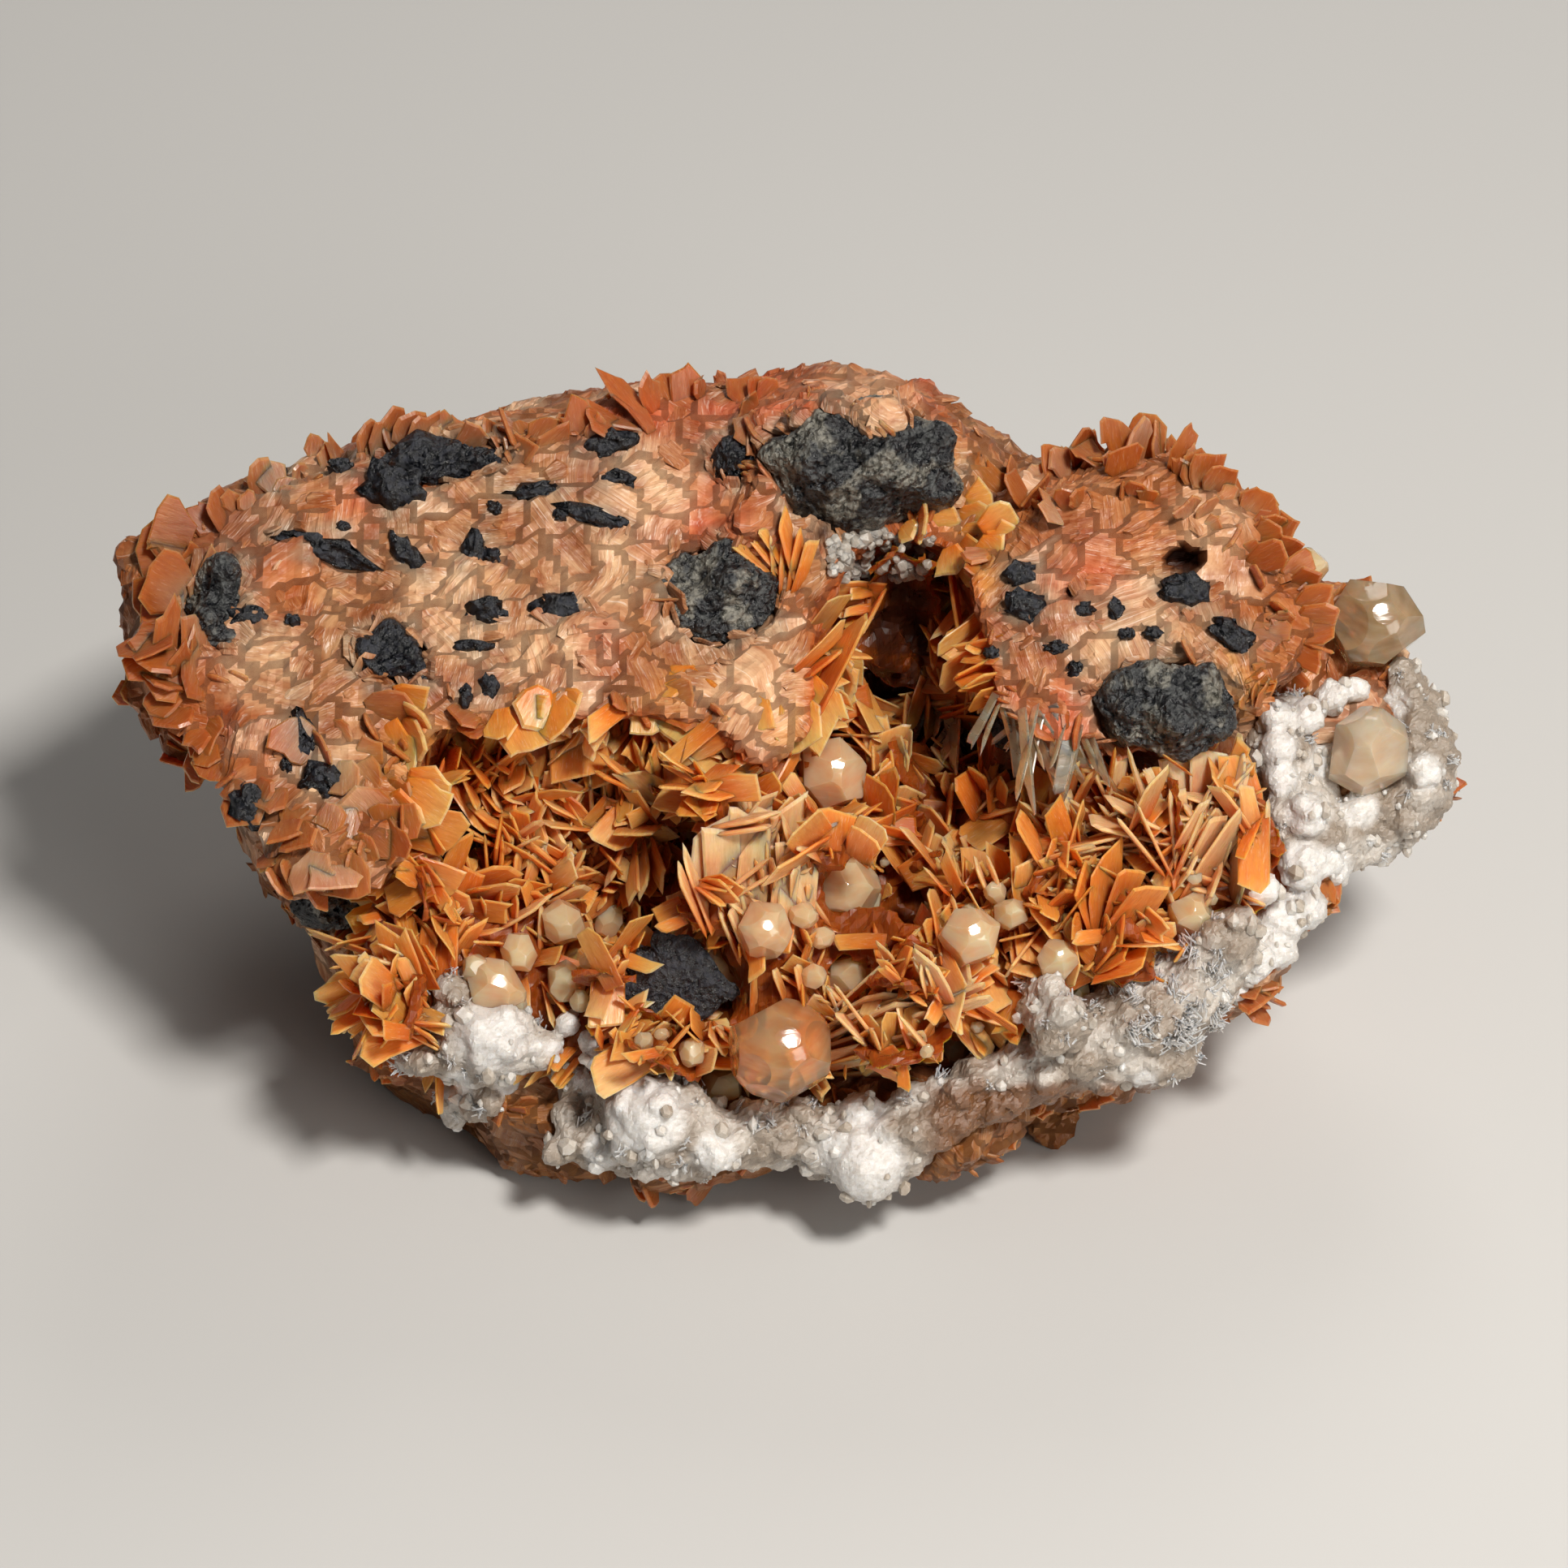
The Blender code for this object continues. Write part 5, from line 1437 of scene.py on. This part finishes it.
def crystal_facets(dice, roundness):
    """Normals and distances of the faces of a stubby cerussite crystal, with its axis up."""
    normals, distances = [(0.0, 0.0, 1)], [dice.uniform(0.955, 0.975)]
    for tilt, distance, count in ((0.0, 0.80, 6), (40.0, 0.84, 5), (-38.0, 0.86, 6), (-80.0, 0.8, 2)):
        start = dice.uniform(0, 360)
        for step in range(count):
            angle = math.radians(start + 360 / count * step + 9 * dice.normal())
            rise = math.radians(tilt + 6 * dice.normal())
            level = math.cos(rise)
            normals.append((math.cos(angle) * level, math.sin(angle) * level, math.sin(rise)))
            distances.append(distance * dice.uniform(0.92, 1.08) + roundness)
    return unit(np.array(normals)), np.array(distances)


def crystal_form(fineness, dice, roundness, bevel):
    """
    Vertices, faces' corner counts and corners of a crystal about 1 in radius, cut flat by its facets
    and bevelled that wide.
    """
    shape = bmesh.new()
    bmesh.ops.create_icosphere(shape, subdivisions=fineness, radius=1)
    for normal, distance in zip(*crystal_facets(dice, roundness)):
        whole = shape.verts[:] + shape.edges[:] + shape.faces[:]
        cut = bmesh.ops.bisect_plane(
            shape, geom=whole, dist=1e-5, plane_co=normal * distance, plane_no=normal, clear_outer=True
        )["geom_cut"]
        edges = [part for part in cut if isinstance(part, bmesh.types.BMEdge)]
        if edges:
            bmesh.ops.edgeloop_fill(shape, edges=edges)
    bmesh.ops.recalc_face_normals(shape, faces=shape.faces[:])
    shape.normal_update()
    if bevel > 0:
        sharp = [edge for edge in shape.edges if edge.calc_face_angle(0.0) > SHARP]
        bmesh.ops.bevel(shape, geom=sharp, offset=bevel, segments=1, affect="EDGES", clamp_overlap=True)
    shape.verts.index_update()
    verts = np.array([v.co for v in shape.verts])
    sizes = [len(f.verts) for f in shape.faces]
    corners = np.array([v.index for f in shape.faces for v in f.verts])
    shape.free()
    return verts, sizes, corners


def crystals_piece(name, places, radii, axes, dice, fineness, roundness=0.0, bevel=CRYSTAL_BEVEL):
    """Cerussite crystals as one piece."""
    forms = []
    for place, radius, axis in zip(places, radii, axes):
        form, sizes, corners = crystal_form(fineness, dice, roundness, bevel)
        side = square_to(random_units(1, dice)[0], axis)
        turn = np.stack((side, np.cross(axis, side), axis))
        forms.append((place + (form * radius) @ turn, sizes, corners))
    piece = forms_piece(name, forms)
    piece.data.shade_smooth()
    piece.data.set_sharp_from_angle(angle=SHARP)
    return piece


def node_box(node_name):
    """The middle and the half sizes of a solid's box, in mm."""
    low, high = (np.array(corner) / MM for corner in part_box(node_name))
    return (low + high) / 2, (high - low) / 2


def disc_round(place, radius):
    """A disc in the view round a place: right, up, away, radius."""
    return (*(float(x[0]) for x in view_of(place[None])), radius)


def node_disc(node_name, share):
    """A disc in the view round a solid, with its radius times that share."""
    middle, half = node_box(node_name)
    return disc_round(middle, half.mean() * share)


def large_crystals(dice):
    """The crystals that are solids of their own."""
    for number in range(1, CRYSTAL_COUNT + 1):
        node_name = f"cerussite_crystal_{number:02d}"
        middle, half = node_box(node_name)
        to_light = np.array(KEY_PLACE) / MM - middle
        to_eye = VIEW_CENTRE - AWAY * CAMERA_DISTANCE - middle
        glint = unit(unit(to_light) + unit(to_eye))
        axis = unit(glint + dice.normal(0, 0.03 if number in BRIGHT_CRYSTALS else 0.25, 3))
        radii = np.array((1.04, 0.98, 1.06)) * half.mean() * CRYSTAL_SHARES.get(number, CRYSTAL_SHARE)
        roundness = 0.06 if number == 1 else 0.0
        piece = crystals_piece(f"crystal_{number:02d}", [middle], [radii], [axis], dice, 4, roundness)
        dress(piece, CRYSTAL_KINDS.get(number, PALE_HONEY), "cerussite_crystal", node_name)


def small_crystal_places(skin):
    """The middles of the small crystals."""
    places = []
    for right, up, _ in SMALL_CRYSTALS:
        spot, normal = skin.front_or_near(right, up)
        places.append(spot - AWAY * CRYSTAL_RISE + unit(normal) * 0.2)
    return np.array(places)


def small_crystals(places, dice):
    """The crystals of the table as one piece."""
    radii = [np.array((1.0, 0.94, 1.1)) * radius for _, _, radius in SMALL_CRYSTALS]
    axes = unit(UP * 0.4 - AWAY * 0.6 + dice.normal(0, 0.45, (len(places), 3)))
    piece = crystals_piece("small_crystals", places, radii, axes, dice, 3)
    dress(piece, PALE_HONEY, "cerussite_crystal")


def grey_grains(skin, dice):
    """Small grey-white grains below the top lump of galena."""
    places, radii = [], []
    for _ in range(GREY_GRAINS):
        spot = skin.front(dice.uniform(*GRAIN_ZONE[0]), dice.uniform(*GRAIN_ZONE[1]))[0]
        if spot is not None:
            radii.append(dice.uniform(0.3, 0.75))
            places.append(spot - AWAY * 0.2)
    axes = random_units(len(places), dice)
    piece = crystals_piece("grey_grains", places, radii, axes, dice, 1, GRAIN_ROUNDNESS, 0.0)
    verts, _ = vertex_data(piece)
    painted(piece, blend(GREY_GRAIN, PALE_GRAIN, ripples(verts, 0.8, 71) * 0.8 + 0.5), verts)
    dress(piece, CRUST, "cerussite_crystal")


# The crust

CRUST_VOXEL = 0.27
CRUST_GRAINS = 520
GRAIN_FORMS = 14
# The crust's brown lower fringe: its upper edge, and the two places to the right where it fades
LOW_EDGE = -19.7
LOW_FROM = (8.5, 11.0)
LOW_TO = (-28.0, -25.0)
# Small balls in a cluster
CLUSTER_BALLS = 34
# How far forward white lumps sit, as a share of the radius: on the wing, large or clusters, small
WING_FORWARD = 0.25
LARGE_FORWARD = -0.35
SMALL_FORWARD = 0.5
NEEDLE_SPRAYS = 340
NEEDLES_EACH = 16
# A needle's faces: their corner counts, then their corners on two rings of three and at the tip
NEEDLE_SIZES = np.array([3, 4, 4, 4, 3, 3, 3])
NEEDLE_CORNERS = np.array([2, 1, 0, 0, 1, 4, 3, 1, 2, 5, 4, 2, 0, 3, 5, 3, 4, 6, 4, 5, 6, 5, 3, 6])
# Where most needles are: right, up, radius
MOUND = (25.3, -14.4, 4.6)

# White lumps of the crust by solid: right, up, radius, and whether it is a cluster of small balls
WHITE_LUMPS = {
    "left": [
        (-19.6, -16.9, 2.4, True), (-21.9, -20.4, 1.1, False), (-14.5, -16.1, 0.85, False),
        (-16.6, -17.7, 0.6, False), (-15.5, -17.8, 0.55, False), (-18.4, -20.2, 0.9, True),
    ],
    "rim": [
        (-9.2, -22.4, 2.6, True), (-13.0, -17.2, 0.8, False), (-12.6, -18.4, 0.9, False),
        (-13.2, -19.8, 1.0, True), (5.2, -22.3, 1.6, False), (5.6, -25.6, 2.5, False),
        (3.6, -24.6, 1.3, False), (24.2, -20.0, 0.8, False), (-4.6, -24.8, 1.4, True),
        (-12.2, -24.6, 1.2, False),
    ],
    "wing": [
        (30.5, -14.0, 0.7, False), (33.0, 4.6, 1.2, False), (33.2, 2.4, 1.3, False),
        (33.4, 0.4, 1.2, False), (43.0, 0.8, 1.2, True), (35.2, -2.0, 1.5, True), (41.0, 5.4, 1.0, True),
        (34.8, -5.6, 1.8, True), (33.4, -9.0, 1.9, True), (31.6, -12.0, 1.5, True), (38.6, -1.6, 1.3, True),
        (36.4, 1.6, 1.2, True), (35.0, 4.6, 1.3, True), (36.8, 5.8, 1.2, True), (38.4, 6.4, 1.0, True),
        (36.6, -5.8, 1.5, True), (35.0, -8.4, 1.5, True), (33.2, -11.2, 1.3, True), (32.0, -7.0, 1.3, True),
        (31.0, -10.0, 1.2, True),
    ],
}


def white_lumps(side, solid, dice):
    """The centres and radii of the crust's white lumps."""
    skin = Skin(solid, NODES["barite_blades"], NODES["barite_body"])
    centres, radii = [], []
    for right, up, radius, cluster in WHITE_LUMPS[side]:
        spot, _ = skin.front_or_near(right, up)
        forward = LARGE_FORWARD if cluster or radius > 1 else SMALL_FORWARD
        if side == "wing":
            forward = WING_FORWARD
        middle = spot - AWAY * forward * radius
        centres.append(middle)
        radii.append(radius * (0.82 if cluster else 1.0))
        if cluster:
            centres.extend(middle + random_units(CLUSTER_BALLS, dice) * radius * 0.75)
            radii.extend(dice.uniform(0.2, 0.36, CLUSTER_BALLS) * radius)
    return np.array(centres), np.array(radii)


def low_fringe(points):
    """How much each point belongs to the crust's brown lower fringe, from 0 to 1."""
    right, up, _ = view_of(points)
    low = smooth_step(LOW_EDGE - up + 0.9 * ripples(points, 1.4, 64), 0.0, 1.0)
    return low * smooth_step(right, *LOW_FROM) * smooth_step(-right, *LOW_TO)


def crust_piece(side, dice):
    """The pale crust: lumps of all sizes grown together."""
    name = "crust_" + side
    solid = NODES["cerussite_" + name]
    skin = Skin(solid)
    count = int(skin.areas.sum() * 0.9)
    spots, normals = skin.scatter(count, dice)
    radii = dice.uniform(0.4, 1.0, count) ** 1.5 * 1.1
    white_centres, white_radii = white_lumps(side, solid, dice)
    centres = np.concatenate((spots - normals * radii[:, None] * 0.3, white_centres))
    lumps = balls_piece(name + "_lumps", centres, np.concatenate((radii, white_radii)))
    piece = joined(name, solid, lumps)
    one_skin(piece, CRUST_VOXEL)
    verts, normals = vertex_data(piece)
    white = near_places(verts, [(right, up, radius * 1.5) for right, up, radius, _ in WHITE_LUMPS[side]])
    white = smooth_step(white, 0.15, 0.5)
    sugar = rough_ripples(verts, 0.9, 4, 61) * (0.20 - 0.12 * white)
    verts = above_floor(verts + normals * (sugar + 0.02)[:, None], LOWEST)
    verts = verts + dice.normal(0, 0.030, verts.shape) * (1 - 0.5 * white)[:, None]
    reshape(piece, verts)
    piece.data.shade_flat()
    patch = smooth_step(ripples(verts, 3.0, 63), -0.12, 0.30)
    tint = blend(blend(CRUST_BROWN, CRUST_PALE, patch), CRUST_WHITE, white)
    painted(piece, blend(tint, LOW_BROWN, low_fringe(verts)), verts)
    return dress(piece, CRUST, "cerussite_crust", solid.name)


def crust_grains(skin, dice):
    """Small facetted grains all over the crust."""
    spots, normals = skin.scatter(CRUST_GRAINS, dice)
    free = low_fringe(spots) < 0.4
    kinds = [crystal_form(1, dice, GRAIN_ROUNDNESS, 0.0) for _ in range(GRAIN_FORMS)]
    forms, tints = [], []
    for spot, normal in zip(spots[free], normals[free]):
        form, sizes, corners = kinds[dice.integers(GRAIN_FORMS)]
        radius = 0.25 + 0.45 * dice.random() ** 2
        verts = spot + normal * radius * 0.1 + form * radius * dice.uniform(0.7, 1.5, 3)
        forms.append((above_floor(verts, LOWEST), sizes, corners))
        tints.append(np.tile(blend(GRAIN_BROWN, GRAIN_WHITE, dice.random()), (len(form), 1)))
    piece = forms_piece("crust_grains", forms)
    piece.data.shade_flat()
    painted(piece, np.concatenate(tints), np.concatenate([verts for verts, _, _ in forms]))
    dress(piece, CRUST, "cerussite_crust")


def needles(skin, dice):
    """Fine needles in sprays on the crust, most of them on a mound at its right."""
    spots, normals = skin.scatter(NEEDLE_SPRAYS * 4, dice)
    mound = near_places(spots, [MOUND]) > 0
    whites = [(right, up, 1.1 * radius) for rows in WHITE_LUMPS.values() for right, up, radius, _ in rows]
    free = (near_places(spots, whites) <= 0.05) & (normals[:, 2] > -0.6) & (low_fringe(spots) < 0.4)
    picked = (mound | (dice.random(len(spots)) < 0.22)) & free
    spots, normals, mound = spots[picked], normals[picked], mound[picked]
    count = len(spots) * NEEDLES_EACH
    axis = unit(normals + dice.normal(0, 0.5, (len(spots), 3)))
    outs = unit(np.repeat(axis, NEEDLES_EACH, 0) + dice.normal(0, 0.40, (count, 3)))
    roots = np.repeat(spots, NEEDLES_EACH, 0) + dice.normal(0, 0.22, (count, 3)) - outs * 0.35
    reach = dice.uniform(0.5, 0.95, len(spots)) * (1 + 0.6 * mound)
    lengths = np.repeat(reach, NEEDLES_EACH) * dice.uniform(0.5, 1.1, count)
    radii = dice.uniform(0.04, 0.10, count)
    side = square_to(random_units(count, dice), outs)
    other = np.cross(outs, side)
    rings = []
    for height, width in ((0.0, 1.0), (0.92, 0.7)):
        for k in range(3):
            angle = 2 * math.pi * k / 3
            around = side * math.cos(angle) + other * math.sin(angle)
            rings.append(roots + outs * (lengths * height)[:, None] + around * (radii * width)[:, None])
    rings.append(roots + outs * lengths[:, None])
    verts = above_floor(np.stack(rings, axis=1).reshape(-1, 3), LOWEST_THIN)
    piece = repeated_piece("crust_needles", verts, count, NEEDLE_SIZES, NEEDLE_CORNERS)
    painted(piece, np.tile(NEEDLE_WHITE, (len(verts), 1)), verts)
    dress(piece, NEEDLES, "cerussite_crust")


# Surroundings, in metres but for the camera's distance in mm

KEY_PLACE = (0.15, -0.22, 0.46)
# Each light's name, place, size and power, and what they all point at
LIGHTS = (
    ("key", KEY_PLACE, 0.085, 2.95),
    ("fill", (0.34, -0.40, 0.22), 0.25, 1.1),
    ("back", (0.10, 0.45, 0.40), 0.25, 0.8),
)
LIT_PLACE = (0, 0, 0.02)
WARM_WHITE = (1.0, 0.95, 0.885)
AMBIENT = (1.0, 0.98, 0.95, 1)
AMBIENT_STRENGTH = 0.09
FLOOR_GREY = (0.54, 0.54, 0.535, 1)
FLOOR_HALF = 1.2
CAMERA_LENS = 135.0
CAMERA_SENSOR = 36.0
CAMERA_DISTANCE = 394.85


def aimed(name, data, place, way):
    """A light or camera at the place that points that way."""
    made = new_object(name, data)
    made.location = place
    made.rotation_mode = "QUATERNION"
    made.rotation_quaternion = way.to_track_quat("-Z", "Y")
    return made


def surroundings():
    """The floor, the lights, and the camera at the viewer's place."""
    half = FLOOR_HALF
    corners = [(-half, -half, 0), (half, -half, 0), (half, half, 0), (-half, half, 0)]
    mesh = bpy.data.meshes.new("floor")
    mesh.from_pydata(corners, [], [(0, 1, 2, 3)])
    mesh.materials.append(new_material("floor", Base_Color=FLOOR_GREY, Roughness=0.8)[0])
    new_object("floor", mesh)
    scene = bpy.context.scene
    scene.view_settings.view_transform = "Standard"
    scene.world = bpy.data.worlds.new("studio")
    scene.world.use_nodes = True
    background = scene.world.node_tree.nodes["Background"]
    background.inputs["Color"].default_value = AMBIENT
    background.inputs["Strength"].default_value = AMBIENT_STRENGTH
    for name, place, size, power in LIGHTS:
        data = bpy.data.lights.new(name, "AREA")
        data.size = size
        data.energy = power
        data.color = WARM_WHITE
        aimed(name, data, place, Vector(LIT_PLACE) - Vector(place))
    data = bpy.data.cameras.new("camera")
    data.lens = CAMERA_LENS
    data.sensor_width = CAMERA_SENSOR
    data.clip_start = 0.01
    scene.camera = aimed("camera", data, (VIEW_CENTRE - AWAY * CAMERA_DISTANCE) * MM, Vector(AWAY))


def main():
    """Builds all pieces. They share one stream of random numbers, so their order matters."""
    dice = np.random.default_rng(7)
    surroundings()
    body = massive_barite(dice)
    body_skin = Skin(body)
    lumps = [galena_lump(name) for name in sorted(NODES) if "galena_" in name]
    galena_specks(body_skin)
    outer_plates(body_skin, lumps, dice)
    ochre_petals(body_skin, dice)
    lining = cavity_lining(dice)
    hollow_skin = Skin(body, lining)
    places = small_crystal_places(hollow_skin)
    discs = [node_disc(name, 0.95) for name in NODES if name.startswith("cerussite_crystal")]
    discs += [node_disc(name, 0.35) for name in NODES if name.startswith("galena")]
    discs += [disc_round(place, radius * 0.8) for place, (_, _, radius) in zip(places, SMALL_CRYSTALS)]
    cavity_blades(hollow_skin, Skin(lining), discs, dice)
    clear_blades(hollow_skin, dice)
    large_crystals(dice)
    small_crystals(places, dice)
    grey_grains(hollow_skin, dice)
    crust_skin = Skin(*[crust_piece(side, dice) for side in WHITE_LUMPS])
    crust_grains(crust_skin, dice)
    needles(crust_skin, dice)
    rim_petals(body_skin, dice)


main()
